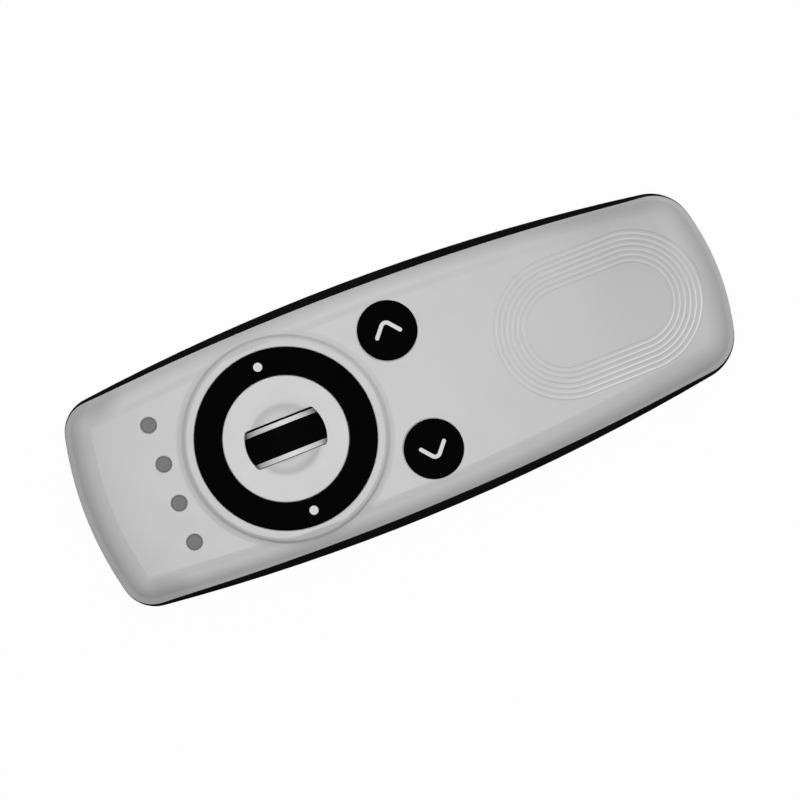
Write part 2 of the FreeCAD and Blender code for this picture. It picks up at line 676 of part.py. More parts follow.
ledge = block("ledge", f"{door_run_length} + sizes.ledge_wall", f"2 * ({tongue_side} + sizes.ledge_wall)",
              f"{door_run_top} + sizes.ledge_wall - sizes.shell_wall / 2",
              f"({door_run_x} - sizes.ledge_wall / 2)", "0", "sizes.shell_wall / 2")
base_ledge = common("base_ledge", ledge, case_outside)
base_bosses = columns("base_boss", "sizes.base_boss_radius", "sizes.board_height - sizes.shell_wall / 2",
                      SCREW_PLACES, "sizes.shell_wall / 2")
SUPPORT_PLACES = [
    (x, f"({sign} * (sizes.case_width / 2 - sizes.board_inset - 2.4))")
    for x in (f"({RING_X} - 14)", f"({RING_X} + 28)", f"({BATTERY_X} - 4)") for _, sign in SIDES
]
supports = columns("support", "1.3", "sizes.board_height - sizes.shell_wall / 2",
                   SUPPORT_PLACES, "sizes.shell_wall / 2")
well_radius = "(sizes.battery_radius + sizes.battery_gap)"
well = cylinder("well", f"{well_radius} + sizes.well_wall", f"sizes.well_height - {door_run_top}",
                BATTERY_X, "0", door_run_top)
base_shell_raw = cut("base_shell_raw", case_wall, [above_base])
base_lip = cut("base_lip", cut("lip_ring", case_lip, [case_inside]), [above_lip])
base_solid = fuse("base_solid", [base_shell_raw, base_lip, base_ledge, well] + base_bosses + supports)
well_hole = cylinder("well_hole", well_radius, "sizes.board_height", BATTERY_X)
clip_slot = block("clip_slot", "4", "sizes.contact_width + 1", "sizes.board_height",
                  f"({BATTERY_X} - {well_radius})", "0", door_run_top)
door_run = block("door_run", door_run_length, f"2 * {door_side}", f"{door_run_top} + {OUTSIDE}",
                 door_run_x, "0", f"-{OUTSIDE}")
tongue_run = block("tongue_run", door_run_length, f"2 * {tongue_side}",
                   "sizes.tongue_height + 2 * sizes.door_play", door_run_x, "0",
                   f"({tongue_z} - sizes.door_play)")
counterbores = columns("counterbore", "sizes.screw_head_radius + sizes.screw_head_gap",
                       f"sizes.screw_seat + {OUTSIDE}", SCREW_PLACES, f"-{OUTSIDE}")
base_holes = columns("base_hole", "sizes.screw_radius + sizes.screw_clearance",
                     "sizes.board_height + 1", SCREW_PLACES, "0")
keep("base_shell", cut("base_shell", base_solid, [well_hole, clip_slot, door_run, tongue_run]
                       + counterbores + base_holes))

# The battery door follows the case's back and slides off past the end.
door_skin = envelope("door_skin", "sizes.door_recess")
door_x = f"({DOOR_X} + (sizes.door_inset + {OUTSIDE}) / 2)"
door_plate = block("door_plate", f"sizes.door_inset + {OUTSIDE}", "2 * sizes.door_half_width",
                   DOOR_TOP, door_x)
door_tongues = block("door_tongues", f"sizes.door_inset + {OUTSIDE}",
                     "2 * (sizes.door_half_width + sizes.tongue_reach)", "sizes.tongue_height",
                     door_x, "0", tongue_z)
finger_lines = [
    block(f"finger_line_{i}", "0.9", "sizes.finger_line_length", "0.4",
          f"({DOOR_X} + sizes.finger_line_inset + {i} * sizes.finger_line_pitch)", "0",
          "(sizes.door_recess - 0.1)")
    for i in range(FINGER_LINES)
]
door_solid = common("door_solid", fuse("door_blank", [door_plate, door_tongues]), door_skin)
keep("battery_door", cut("battery_door", door_solid, finger_lines))

# The rocking ring and its two inlaid dots.
ring_inside = "(sizes.disc_radius + sizes.moving_gap)"
flange_top = f"({DECK} - sizes.ring_flange_depth)"
flange_bottom = f"({flange_top} - sizes.ring_flange_height)"
skirt_inside = "(sizes.ring_radius - sizes.ring_skirt_wall)"
ring_underside = f"({DECK} - sizes.ring_plate)"
ring = turned("control_ring", [
    (ring_inside, ring_underside),
    (skirt_inside, ring_underside),
    (skirt_inside, flange_bottom),
    (FLANGE_RADIUS, flange_bottom),
    (FLANGE_RADIUS, flange_top),
    ("sizes.ring_radius", flange_top),
    ("sizes.ring_radius", f"{DECK} - sizes.edge_chamfer"),
    ("sizes.ring_radius - sizes.edge_chamfer", DECK),
    (f"{ring_inside} + sizes.edge_chamfer", DECK),
    (ring_inside, f"{DECK} - sizes.edge_chamfer"),
])
for _, sign in SIDES:
    foot = new_sketch(ring, height=DOME_TOP)
    draw_circle(foot, "sizes.stem_radius", "0", f"{sign} * sizes.ring_mark_reach")
    pad(ring, foot, f"{ring_underside} - {DOME_TOP} + sizes.ring_plate / 2")
for _, sign in SIDES:
    trunnion = new_sketch(ring, "YZ_Plane", f"{sign} * {TRUNNION_END}")
    draw_circle(trunnion, "sizes.trunnion_radius", "0", RING_AXIS_Z)
    pad(ring, trunnion, f"{TRUNNION_END} - {skirt_inside} - 0.2", backwards=sign == "1")
dots = new_sketch(ring, height=DECK)
for _, sign in SIDES:
    draw_circle(dots, "sizes.ring_mark_radius + sizes.fixed_play", "0", f"{sign} * sizes.ring_mark_reach")
pocket(ring, dots, "sizes.mark_depth")
keep("control_ring", place(ring, RING_X))
for side, sign in SIDES:
    keep(f"ring_dot_{side}", cylinder(f"ring_dot_{side}", "sizes.ring_mark_radius", "sizes.mark_depth",
                                      RING_X, f"{sign} * sizes.ring_mark_reach",
                                      f"{DECK} - sizes.mark_depth"))

# The centre disc, with the wheel's slot in a finger dish, on four legs.
disc = turned("disc", [
    ("0", f"{DISC_TOP} - sizes.disc_plate"),
    ("sizes.disc_radius - sizes.disc_skirt_wall", f"{DISC_TOP} - sizes.disc_plate"),
    ("sizes.disc_radius - sizes.disc_skirt_wall", f"{DISC_TOP} - sizes.disc_skirt_depth"),
    ("sizes.disc_radius", f"{DISC_TOP} - sizes.disc_skirt_depth"),
    ("sizes.disc_radius", f"{DISC_TOP} - sizes.edge_chamfer"),
    ("sizes.disc_radius - sizes.edge_chamfer", DISC_TOP),
    ("0", DISC_TOP),
])
legs = new_sketch(disc, height=FRAME_TOP)
leg_holes = new_sketch(disc, height=FRAME_TOP)
for along in ("1", "-1"):
    for across in ("1", "-1"):
        at = f"{along} * sizes.leg_offset", f"{across} * sizes.leg_offset"
        draw_circle(legs, "sizes.leg_radius", *at)
        draw_circle(leg_holes, "sizes.disc_screw_radius + sizes.fixed_play", *at)
pad(disc, legs, f"{DISC_TOP} - sizes.disc_plate / 2 - {FRAME_TOP}")
pocket(disc, leg_holes, "sizes.disc_screw_reach + sizes.screw_head_gap", backwards=True)
slot_ends = cylinder("slot_ends", "sizes.slot_radius", "sizes.disc_plate + 2", RING_X, "0",
                     f"{DISC_TOP} - sizes.disc_plate - 1")
slot_sides = block("slot_sides", "2 * sizes.slot_radius + 2", "2 * sizes.slot_half_width",
                   "sizes.disc_plate + 2", RING_X, "sizes.slot_shift", f"{DISC_TOP} - sizes.disc_plate - 1")
slot_sharp = common("slot_sharp", slot_ends, slot_sides)
document.recompute()
slot = document.addObject("Part::Fillet", "slot")
slot.Base = slot_sharp
slot.Edges = [
    (i, number("sizes.slot_corner"), number("sizes.slot_corner"))
    for i, edge in enumerate(slot_sharp.Shape.Edges, start=1) if high(edge) - low(edge) > 1
]
dish_sphere = "((sizes.dish_radius^2 + sizes.dish_depth^2) / (2 * sizes.dish_depth))"
dish = document.addObject("Part::Sphere", "dish")
dish.setExpression("Radius", dish_sphere)
place(dish, RING_X, "0", f"{DISC_TOP} - sizes.dish_depth + {dish_sphere}")
dished = cut("dished_disc", place(disc, RING_X), [dish])
document.recompute()
soft_disc = document.addObject("Part::Fillet", "soft_disc")
soft_disc.Base = dished
soft_disc.Edges = [
    (i, number("sizes.dish_round"), number("sizes.dish_round"))
    for i, edge in enumerate(dished.Shape.Edges, start=1)
    if abs(edge.BoundBox.XLength - 2 * number("sizes.dish_radius")) < 0.01
    and low(edge) > number(DISC_TOP) - 0.01
]
keep("centre_disc", cut("centre_disc", soft_disc, [slot]))

# The thumb wheel, its axle and magnet. Their axis runs across the case.
half_wheel = "(sizes.wheel_width / 2)"
half_tyre = "(sizes.tyre_width / 2)"
tyre_seat = "(sizes.wheel_radius - sizes.tyre_depth)"
rim_radius = "(sizes.wheel_radius - sizes.rim_drop)"
hub_bore = "(sizes.axle_radius + sizes.fixed_play)"
hub = turned("wheel_hub", [
    (hub_bore, f"-{half_wheel}"),
    (f"{hub_bore} + 1.5", f"-{half_wheel}"),
    (f"{hub_bore} + 1.5", "-sizes.web_width / 2"),
    (f"{tyre_seat} - 1", "-sizes.web_width / 2"),
    (f"{tyre_seat} - 1", f"-{half_wheel}"),
    (rim_radius, f"-{half_wheel}"),
    (rim_radius, f"-{half_tyre}"),
    (tyre_seat, f"-{half_tyre}"),
    (tyre_seat, half_tyre),
    (rim_radius, half_tyre),
    (rim_radius, half_wheel),
    (f"{tyre_seat} - 1", half_wheel),
    (f"{tyre_seat} - 1", "sizes.web_width / 2"),
    (f"{hub_bore} + 1.5", "sizes.web_width / 2"),
    (f"{hub_bore} + 1.5", half_wheel),
    (hub_bore, half_wheel),
], "XY_Plane")
keep("wheel_hub", place(hub, RING_X, "0", WHEEL_Z))
tyre = turned("wheel_tyre", [
    (f"{tyre_seat} + sizes.fixed_play", f"sizes.fixed_play - {half_tyre}"),
    (rim_radius, f"sizes.fixed_play - {half_tyre}"),
    ("sizes.wheel_radius", f"sizes.fixed_play - {half_tyre} + sizes.rim_drop"),
    ("sizes.wheel_radius", f"{half_tyre} - sizes.fixed_play - sizes.rim_drop"),
    (rim_radius, f"{half_tyre} - sizes.fixed_play"),
    (f"{tyre_seat} + sizes.fixed_play", f"{half_tyre} - sizes.fixed_play"),
], "XY_Plane")
keep("wheel_tyre", place(tyre, RING_X, "0", WHEEL_Z))
magnet_start = f"({CRADLE_OUTSIDE} + sizes.bracket_gap)"
magnet_end = f"({magnet_start} + sizes.magnet_width)"
axle = turned("wheel_axle", [
    ("0", f"-{CRADLE_OUTSIDE} - sizes.bracket_gap"),
    ("sizes.axle_radius", f"-{CRADLE_OUTSIDE} - sizes.bracket_gap"),
    ("sizes.axle_radius", f"{magnet_end} - 0.2"),
    ("0", f"{magnet_end} - 0.2"),
], "XY_Plane")
keep("wheel_axle", place(axle, RING_X, "0", WHEEL_Z))
magnet = turned("encoder_magnet", [
    (hub_bore, magnet_start),
    ("sizes.magnet_radius", magnet_start),
    ("sizes.magnet_radius", magnet_end),
    (hub_bore, magnet_end),
], "XY_Plane")
keep("encoder_magnet", place(magnet, RING_X, "0", WHEEL_Z))

# The cradle carries the wheel, swings on its pin and presses the switch.
cradle = new_body("wheel_cradle")
arm_end = "(sizes.press_reach + sizes.press_bar / 2)"
arms = new_sketch(cradle, "XZ_Plane")
draw_polygon(arms, [
    ("-sizes.pivot_reach", "-sizes.cradle_half_height"),
    (arm_end, "-sizes.cradle_half_height"),
    (arm_end, "sizes.cradle_half_height - 0.6"),
    ("sizes.axle_radius + 2", "sizes.cradle_half_height"),
    ("-sizes.pivot_reach", "sizes.cradle_half_height"),
])
pad(cradle, arms, f"2 * {CRADLE_OUTSIDE}", symmetric=True)
barrel = new_sketch(cradle, "XZ_Plane")
draw_circle(barrel, "sizes.cradle_half_height", "-sizes.pivot_reach", "0")
pad(cradle, barrel, f"2 * {CRADLE_OUTSIDE}", symmetric=True)
wheel_room = new_sketch(cradle, height=f"sizes.cradle_half_height + {OUTSIDE}")
draw_rectangle(wheel_room, "sizes.cradle_half_height - sizes.pivot_reach",
               "sizes.press_reach - sizes.press_bar / 2", f"-{CRADLE_INSIDE}", CRADLE_INSIDE)
pocket(cradle, wheel_room, f"2 * (sizes.cradle_half_height + {OUTSIDE})")
axle_bores = new_sketch(cradle, "XZ_Plane")
draw_circle(axle_bores, "sizes.axle_radius + sizes.running_play")
draw_circle(axle_bores, "sizes.pivot_radius + sizes.running_play", "-sizes.pivot_reach", "0")
pocket(cradle, axle_bores, f"2 * {CRADLE_OUTSIDE} + 2", symmetric=True)
keep("wheel_cradle", place(cradle, RING_X, "0", WHEEL_Z))
bracket_inside = f"({CRADLE_OUTSIDE} + sizes.bracket_gap)"
bracket_outside = f"({bracket_inside} + sizes.bracket_wall)"
pin = turned("cradle_pin", [
    ("0", f"-{bracket_outside}"),
    ("sizes.pivot_radius", f"-{bracket_outside}"),
    ("sizes.pivot_radius", bracket_outside),
    ("0", bracket_outside),
], "XY_Plane")
pin_x = f"({RING_X} - sizes.pivot_reach)"
keep("cradle_pin", place(pin, pin_x, "0", WHEEL_Z))

# The switch under the press bar. Its plunger sits in a bore and follows the bar.
switch_x = f"({RING_X} + sizes.press_reach)"
switch_height = 1.5
plunger_radius = 1.0
plunger_sink = 0.2
bar_underside = f"({WHEEL_Z} - sizes.cradle_half_height)"
switch = new_body("wheel_switch")
switch_case = new_sketch(switch)
draw_rectangle(switch_case, "-2.2", "2.2", "-2.2", "2.2")
pad(switch, switch_case, f"{switch_height}")
switch_bore = new_sketch(switch, height=f"{switch_height}")
draw_circle(switch_bore, f"{plunger_radius} + 0.15")
pocket(switch, switch_bore, "1.1")
keep("wheel_switch", place(switch, switch_x, "0", BOARD_TOP))
plunger_z = f"({BOARD_TOP} + {switch_height} - {plunger_sink})"
keep("wheel_switch_plunger", cylinder("wheel_switch_plunger", f"{plunger_radius}",
                                      f"{bar_underside} - {plunger_z}", switch_x, "0", plunger_z))

# The inner frame stands on the board and carries the ring and the cradle.
frame = new_body("inner_frame")
frame_plan = new_sketch(frame, height=BOARD_TOP)
draw_outline(frame_plan, "sizes.frame_inset")
pad(frame, frame_plan, "sizes.frame_thickness")
frame_end = new_sketch(frame, height=FRAME_TOP)
draw_rectangle(frame_end, f"{KEY_X} + sizes.frame_tail", f"{FAR_END} + {OUTSIDE}",
               "-sizes.case_width", "sizes.case_width")
pocket(frame, frame_end, "sizes.frame_thickness")
bearing_start = f"({FLANGE_RADIUS} + 0.3)"
bearing_top = f"({RING_AXIS_Z} + sizes.trunnion_radius + 0.8)"
for sign in ("1", "-1"):
    bearing = new_sketch(frame, height=BOARD_TOP)
    draw_rectangle(bearing, f"{RING_X} + {sign} * {bearing_start}", f"{RING_X} + {sign} * {TRUNNION_END}",
                   "-2", "2")
    pad(frame, bearing, f"{bearing_top} - {BOARD_TOP}")
for _, sign in SIDES:
    bracket = new_sketch(frame, height=BOARD_TOP)
    draw_rectangle(bracket, f"{pin_x} - sizes.cradle_half_height", f"{pin_x} + sizes.cradle_half_height",
                   f"{sign} * {bracket_inside}", f"{sign} * {bracket_outside}")
    pad(frame, bracket, f"{WHEEL_Z} + sizes.cradle_half_height - {BOARD_TOP}")
wheel_opening = new_sketch(frame, height=FRAME_TOP)
draw_rectangle(wheel_opening, f"{RING_X} - sizes.wheel_radius - sizes.frame_gap",
               f"{RING_X} + sizes.wheel_radius + sizes.frame_gap",
               f"-{half_wheel} - sizes.frame_gap", f"{half_wheel} + sizes.frame_gap")
pocket(frame, wheel_opening, "sizes.frame_thickness")
switch_opening = new_sketch(frame, height=FRAME_TOP)
draw_rectangle(switch_opening, f"{switch_x} - 2.6", f"{switch_x} + 2.6", "-2.6", "2.6")
pocket(frame, switch_opening, "sizes.frame_thickness")
sensor_y = f"({magnet_start} + sizes.magnet_width / 2)"
sensor_opening = new_sketch(frame, height=FRAME_TOP)
draw_rectangle(sensor_opening, f"{RING_X} - 2", f"{RING_X} + 2", f"{sensor_y} - 1.3", f"{sensor_y} + 1.3")
pocket(frame, sensor_opening, "sizes.frame_thickness")
dome_openings = new_sketch(frame, height=FRAME_TOP)
for _, sign in SIDES:
    for x, y in ((RING_X, "sizes.ring_mark_reach"), (KEY_X, "sizes.key_spread")):
        draw_circle(dome_openings, "sizes.dome_radius + sizes.frame_gap / 2", x, f"{sign} * {y}")
pocket(frame, dome_openings, "sizes.frame_thickness")
small_openings = new_sketch(frame, height=FRAME_TOP)
for spread in LIGHT_SPREADS:
    draw_circle(small_openings, "sizes.light_radius + sizes.frame_gap", LIGHT_X, spread)
for x, y in NEAR_SCREWS:
    draw_circle(small_openings, "sizes.cover_boss_radius + sizes.frame_gap", x, y)
for x, y in LEG_PLACES:
    draw_circle(small_openings, "sizes.disc_screw_radius + sizes.screw_clearance", x, y)
pocket(frame, small_openings, "sizes.frame_thickness")
trunnion_bores = new_sketch(frame, "YZ_Plane", RING_X)
draw_circle(trunnion_bores, "sizes.trunnion_radius + sizes.running_play", "0", RING_AXIS_Z)
pocket(frame, trunnion_bores, f"2 * ({TRUNNION_END} + 1)", symmetric=True)
pin_bores = new_sketch(frame, "XZ_Plane")
draw_circle(pin_bores, "sizes.pivot_radius + sizes.fixed_play", pin_x, WHEEL_Z)
pocket(frame, pin_bores, f"2 * {bracket_outside} + 2", symmetric=True)
keep("inner_frame", frame)

# The circuit board and what it carries.
board = new_body("circuit_board")
board_plan = new_sketch(board, height="sizes.board_height")
draw_outline(board_plan, "sizes.board_inset")
pad(board, board_plan, "sizes.board_thickness")
board_slot = new_sketch(board, height=BOARD_TOP)
draw_rectangle(board_slot, f"{RING_X} - sizes.wheel_radius + 0.2", f"{RING_X} + sizes.wheel_radius - 0.2",
               f"-{half_wheel} - sizes.frame_gap", f"{half_wheel} + sizes.frame_gap")
pocket(board, board_slot, "sizes.board_thickness")
board_holes = new_sketch(board, height=BOARD_TOP)
for x, y in SCREW_PLACES:
    draw_circle(board_holes, "sizes.screw_radius + sizes.screw_clearance", x, y)
for x, y in LEG_PLACES:
    draw_circle(board_holes, "sizes.disc_screw_radius + sizes.screw_clearance", x, y)
pocket(board, board_holes, "sizes.board_thickness")
keep("circuit_board", board)
keep("hall_sensor", block("hall_sensor", "2.9", "1.6", "1.1", RING_X, sensor_y, BOARD_TOP))
keep("indicator_leds", group("indicator_leds", [
    block(f"led_{i}", "1.6", "0.9", "sizes.diode_height", LIGHT_X, spread, BOARD_TOP)
    for i, spread in enumerate(LIGHT_SPREADS)
]))
keep("controller_chip", block("controller_chip", "7", "7", "1", f"({BATTERY_X} - 12)", "8", BOARD_TOP))
keep("radio_shield", block("radio_shield", "17", "13", "2.2", f"({BATTERY_X} + 8)", "-5", BOARD_TOP))
keep("crystal", block("crystal", "3.2", "2.5", "0.8", f"({BATTERY_X} - 12)", "1.2", BOARD_TOP))
keep("antenna", block("antenna", "9", "2.2", "1.2", f"({BATTERY_X} + 22)", "0", BOARD_TOP))
keep("capacitor", cylinder("capacitor", "2.5", "5.4", f"({BATTERY_X} - 14)", "-8", BOARD_TOP))

# Two keys with inlaid chevrons, and a rubber dome with a carbon pill under each key and foot.
pill_z = f"({BOARD_TOP} + sizes.pill_travel)"
dome_cap = "(sizes.stem_radius + 0.3)"
cap_under = "(sizes.pill_travel + sizes.pill_height)"
DOME_PROFILE = [
    ("0", cap_under),
    (f"{dome_cap} - 0.2", cap_under),
    ("sizes.dome_radius - 1.2", "0"),
    ("sizes.dome_radius", "0"),
    ("sizes.dome_radius", "sizes.dome_foot"),
    ("sizes.dome_radius - 0.7", "sizes.dome_foot"),
    (dome_cap, f"{cap_under} + 0.65"),
    (dome_cap, "sizes.dome_height"),
    ("0", "sizes.dome_height"),
]


def dome_and_pill(dome_name, pill_name, x, y):
    keep(dome_name, place(turned(dome_name, DOME_PROFILE), x, y, BOARD_TOP))
    keep(pill_name, cylinder(pill_name, "sizes.pill_radius", "sizes.pill_height", x, y, pill_z))


def draw_chevron(sketch, play):
    """A round-ended line, bent once, that points along Y."""
    half = f"(sizes.chevron_stroke / 2 + {play})"
    outer, inner = f"sizes.chevron_bend + {half}", f"sizes.chevron_bend - {half}"
    centre = V(0, number("sizes.chevron_top"), 0)
    reach, foot = number("sizes.chevron_reach"), number("sizes.chevron_foot")
    ends = V(reach, -foot, 0), V(-reach, -foot, 0)
    away = ends[0] - centre
    slope = math.atan2(away.y, away.x) + math.acos(number("sizes.chevron_bend") / away.Length)
    right, left = V(math.cos(slope), math.sin(slope), 0), V(-math.cos(slope), math.sin(slope), 0)
    r_out, r_in, r_end = number(outer), number(inner), number(half)
    shapes = [
        arc_between(centre, r_out, slope, math.pi - slope),
        Part.LineSegment(centre + left * r_out, ends[1] + left * r_end),
        arc_between(ends[1], r_end, math.pi - slope, -slope),
        Part.LineSegment(ends[1] - left * r_end, centre + left * r_in),
        arc_between(centre, r_in, slope, math.pi - slope),
        Part.LineSegment(centre + right * r_in, ends[0] - right * r_end),
        arc_between(ends[0], r_end, slope + math.pi, slope),
        Part.LineSegment(ends[0] + right * r_end, centre + right * r_out),
    ]
    edges = [sketch.addGeometry(shape) for shape in shapes]
    # The inner arc runs the other way round the loop than the rest.
    order = [(0, 2, 1, 1), (1, 2, 2, 1), (2, 2, 3, 1), (3, 2, 4, 2), (4, 1, 5, 1), (5, 2, 6, 1),
             (6, 2, 7, 1), (7, 2, 0, 1)]
    for a, a_end, b, b_end in order:
        sketch.addConstraint(Sketcher.Constraint("Tangent", edges[a], a_end, edges[b], b_end))
    for edge, x, y, radius in (
        (edges[0], "0", "sizes.chevron_top", outer),
        (edges[4], "0", "sizes.chevron_top", inner),
        (edges[2], "-sizes.chevron_reach", "-sizes.chevron_foot", half),
        (edges[6], "sizes.chevron_reach", "-sizes.chevron_foot", half),
    ):
        tie_point(sketch, edge, 3, x, y)
        tie(sketch, "Radius", (edge,), radius)


def face_outwards(piece, sign):
    """Turns a piece of the left side so that its own Y points away from the centre line."""
    if sign == "-1":
        piece.Placement = FreeCAD.Placement(V(), FreeCAD.Rotation(V(0, 0, 1), 180))
    return piece


for side, sign in SIDES:
    spread = f"({sign} * sizes.key_spread)"
    cover_face = crown_height(KEY_X, spread)
    key_face = f"({cover_face} - sizes.key_drop)"
    key_flange = f"({cover_face} - sizes.shell_wall - sizes.flange_gap)"
    key = turned(f"{side}_button", [
        ("0", DOME_TOP),
        ("sizes.stem_radius", DOME_TOP),
        ("sizes.stem_radius", f"{key_flange} - sizes.key_flange_height"),
        ("sizes.key_radius + sizes.key_flange_reach", f"{key_flange} - sizes.key_flange_height"),
        ("sizes.key_radius + sizes.key_flange_reach", key_flange),
        ("sizes.key_radius", key_flange),
        ("sizes.key_radius", f"{key_face} - sizes.edge_chamfer"),
        ("sizes.key_radius - sizes.edge_chamfer", key_face),
        ("0", key_face),
    ])
    inlay = new_sketch(key, height=key_face)
    draw_chevron(inlay, "sizes.fixed_play")
    pocket(key, inlay, "sizes.mark_depth")
    keep(f"{side}_button", place(face_outwards(key, sign), KEY_X, spread))
    mark = new_body(f"{side}_chevron")
    mark_plan = new_sketch(mark, height=f"{key_face} - sizes.mark_depth")
    draw_chevron(mark_plan, "0")
    pad(mark, mark_plan, "sizes.mark_depth")
    keep(f"{side}_chevron", place(face_outwards(mark, sign), KEY_X, spread))
    dome_and_pill(f"{side}_dome", f"{side}_contact", KEY_X, spread)
    dome_and_pill(f"ring_dome_{side}", f"ring_contact_{side}", RING_X, f"({sign} * sizes.ring_mark_reach)")

# Four light pipes over the diodes.
pipe_radius = "(sizes.light_radius - sizes.fixed_play)"
pipe_foot = f"({BOARD_TOP} + sizes.diode_height + sizes.light_pipe_gap)"
for i, spread in enumerate(LIGHT_SPREADS):
    cover_face = crown_height(LIGHT_X, spread)
    pipe_flange = f"({cover_face} - sizes.shell_wall - sizes.flange_gap)"
    pipe = turned(f"light_pipe_{i + 1}", [
        ("0", pipe_foot),
        (pipe_radius, pipe_foot),
        (pipe_radius, f"{pipe_flange} - sizes.light_flange_height"),
        (f"{pipe_radius} + sizes.light_flange_reach", f"{pipe_flange} - sizes.light_flange_height"),
        (f"{pipe_radius} + sizes.light_flange_reach", pipe_flange),
        (pipe_radius, pipe_flange),
        (pipe_radius, f"{cover_face} - sizes.light_drop"),
        ("0", f"{cover_face} - sizes.light_drop"),
    ])
    keep(f"light_pipe_{i + 1}", place(pipe, LIGHT_X, spread))

# The coin cell, with a strip on its rim and a sprung strip on its upper face.
cell_top = "sizes.battery_height"
cell = turned("coin_cell", [
    ("0", "0"),
    ("sizes.battery_radius - 0.3", "0"),
    ("sizes.battery_radius", "0.3"),
    ("sizes.battery_radius", f"{cell_top} - 0.5"),
    ("sizes.battery_radius - 1.2", f"{cell_top} - 0.5"),
    ("sizes.battery_radius - 1.6", cell_top),
    ("0", cell_top),
])
keep("coin_cell", place(cell, BATTERY_X, "0", BATTERY_Z))


def contact(name, points):
    """A bent strip drawn from the side, its width across the case."""
    body = new_body(name)
    sketch = new_sketch(body, "XZ_Plane")
    draw_polygon(sketch, points)
    pad(body, sketch, "sizes.contact_width", symmetric=True)
    return keep(name, place(body, BATTERY_X))


strip_under_board = "sizes.board_height - sizes.contact_strip"
rim = "-sizes.battery_radius"
contact("battery_contact_plus", [
    (rim, "sizes.board_height"),
    (f"{rim} - 3.3", "sizes.board_height"),
    (f"{rim} - 3.3", strip_under_board),
    (f"{rim} - sizes.contact_strip", strip_under_board),
    (f"{rim} - sizes.contact_strip", f"{BATTERY_Z} + 0.4"),
    (rim, f"{BATTERY_Z} + 0.4"),
])
contact("battery_contact_minus", [
    ("9", "sizes.board_height"),
    ("4", "sizes.board_height"),
    ("0", f"{BATTERY_TOP} + sizes.contact_strip"),
    ("-1.5", f"{BATTERY_TOP} + sizes.contact_strip"),
    ("-1.5", BATTERY_TOP),
    ("0", BATTERY_TOP),
    ("4", strip_under_board),
    ("9", strip_under_board),
])


# Screws: four join the shells through the board, four hold the disc's legs.
def screw(name, head_radius, head_height, radius, length, x, y, z):
    """A pan-head screw that points upwards, with a cross recess. It seats on z."""
    blank = turned(f"{name}_blank", [
        ("0", f"-{head_height}"),
        (f"{head_radius} - 0.3", f"-{head_height}"),
        (head_radius, f"0.3 - {head_height}"),
        (head_radius, "0"),
        (radius, "0"),
        (radius, length),
        ("0", length),
    ])
    recess = [
        block(f"{name}_{axis}", length_x, length_y, f"0.6 * {head_height} + 1", z=f"-{head_height} - 1")
        for axis, length_x, length_y in (
            ("along", f"1.1 * {head_radius}", "0.5"),
            ("across", "0.5", f"1.1 * {head_radius}"),
        )
    ]
    return place(cut(name, blank, recess), x, y, z)


keep("case_screws", group("case_screws", [
    screw(f"case_screw_{i}", "sizes.screw_head_radius", "sizes.screw_head_height", "sizes.screw_radius",
          f"({BOARD_TOP} + sizes.screw_reach - sizes.screw_seat)", x, y, "sizes.screw_seat")
    for i, (x, y) in enumerate(SCREW_PLACES)
]))
keep("disc_screws", group("disc_screws", [
    screw(f"disc_screw_{i}", "sizes.disc_screw_head_radius", "sizes.disc_screw_head_height",
          "sizes.disc_screw_radius", f"({FRAME_TOP} + sizes.disc_screw_reach - sizes.board_height)",
          x, y, "sizes.board_height")
    for i, (x, y) in enumerate(LEG_PLACES)
]))

# The sub-parts are written out once everything has been checked.
document.recompute()
for item in document.Objects:
    if "Invalid" in item.State or "Error" in item.State:
        raise RuntimeError(f"{item.Name} didn't recompute: {item.State}")
os.makedirs("parts", exist_ok=True)
for label, piece in parts.items():
    if piece.Shape.isNull() or not piece.Shape.isValid():
        raise RuntimeError(f"{label} has no valid shape")
for label, piece in parts.items():
    piece.Shape.exportStep(f"parts/{label}.step")
print(f"{len(parts)} sub-parts written")
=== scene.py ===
# %% [markdown]
# # Dressing a smart remote control
#
# The remote's solids come from CAD, already in metres and already in place. This file gives them the
# finishes that the real remote has: satin grey paint, black moulded plastic, ribbed rubber, smoked windows
# and the metal of the coin cell. It also remakes the few pieces whose real surface is finer than a CAD
# solid should be. We start by loading the solids and noting the box that they fill.

# %% Load the remote's solids
import bmesh
import bpy
import math
from mathutils import Matrix, Vector


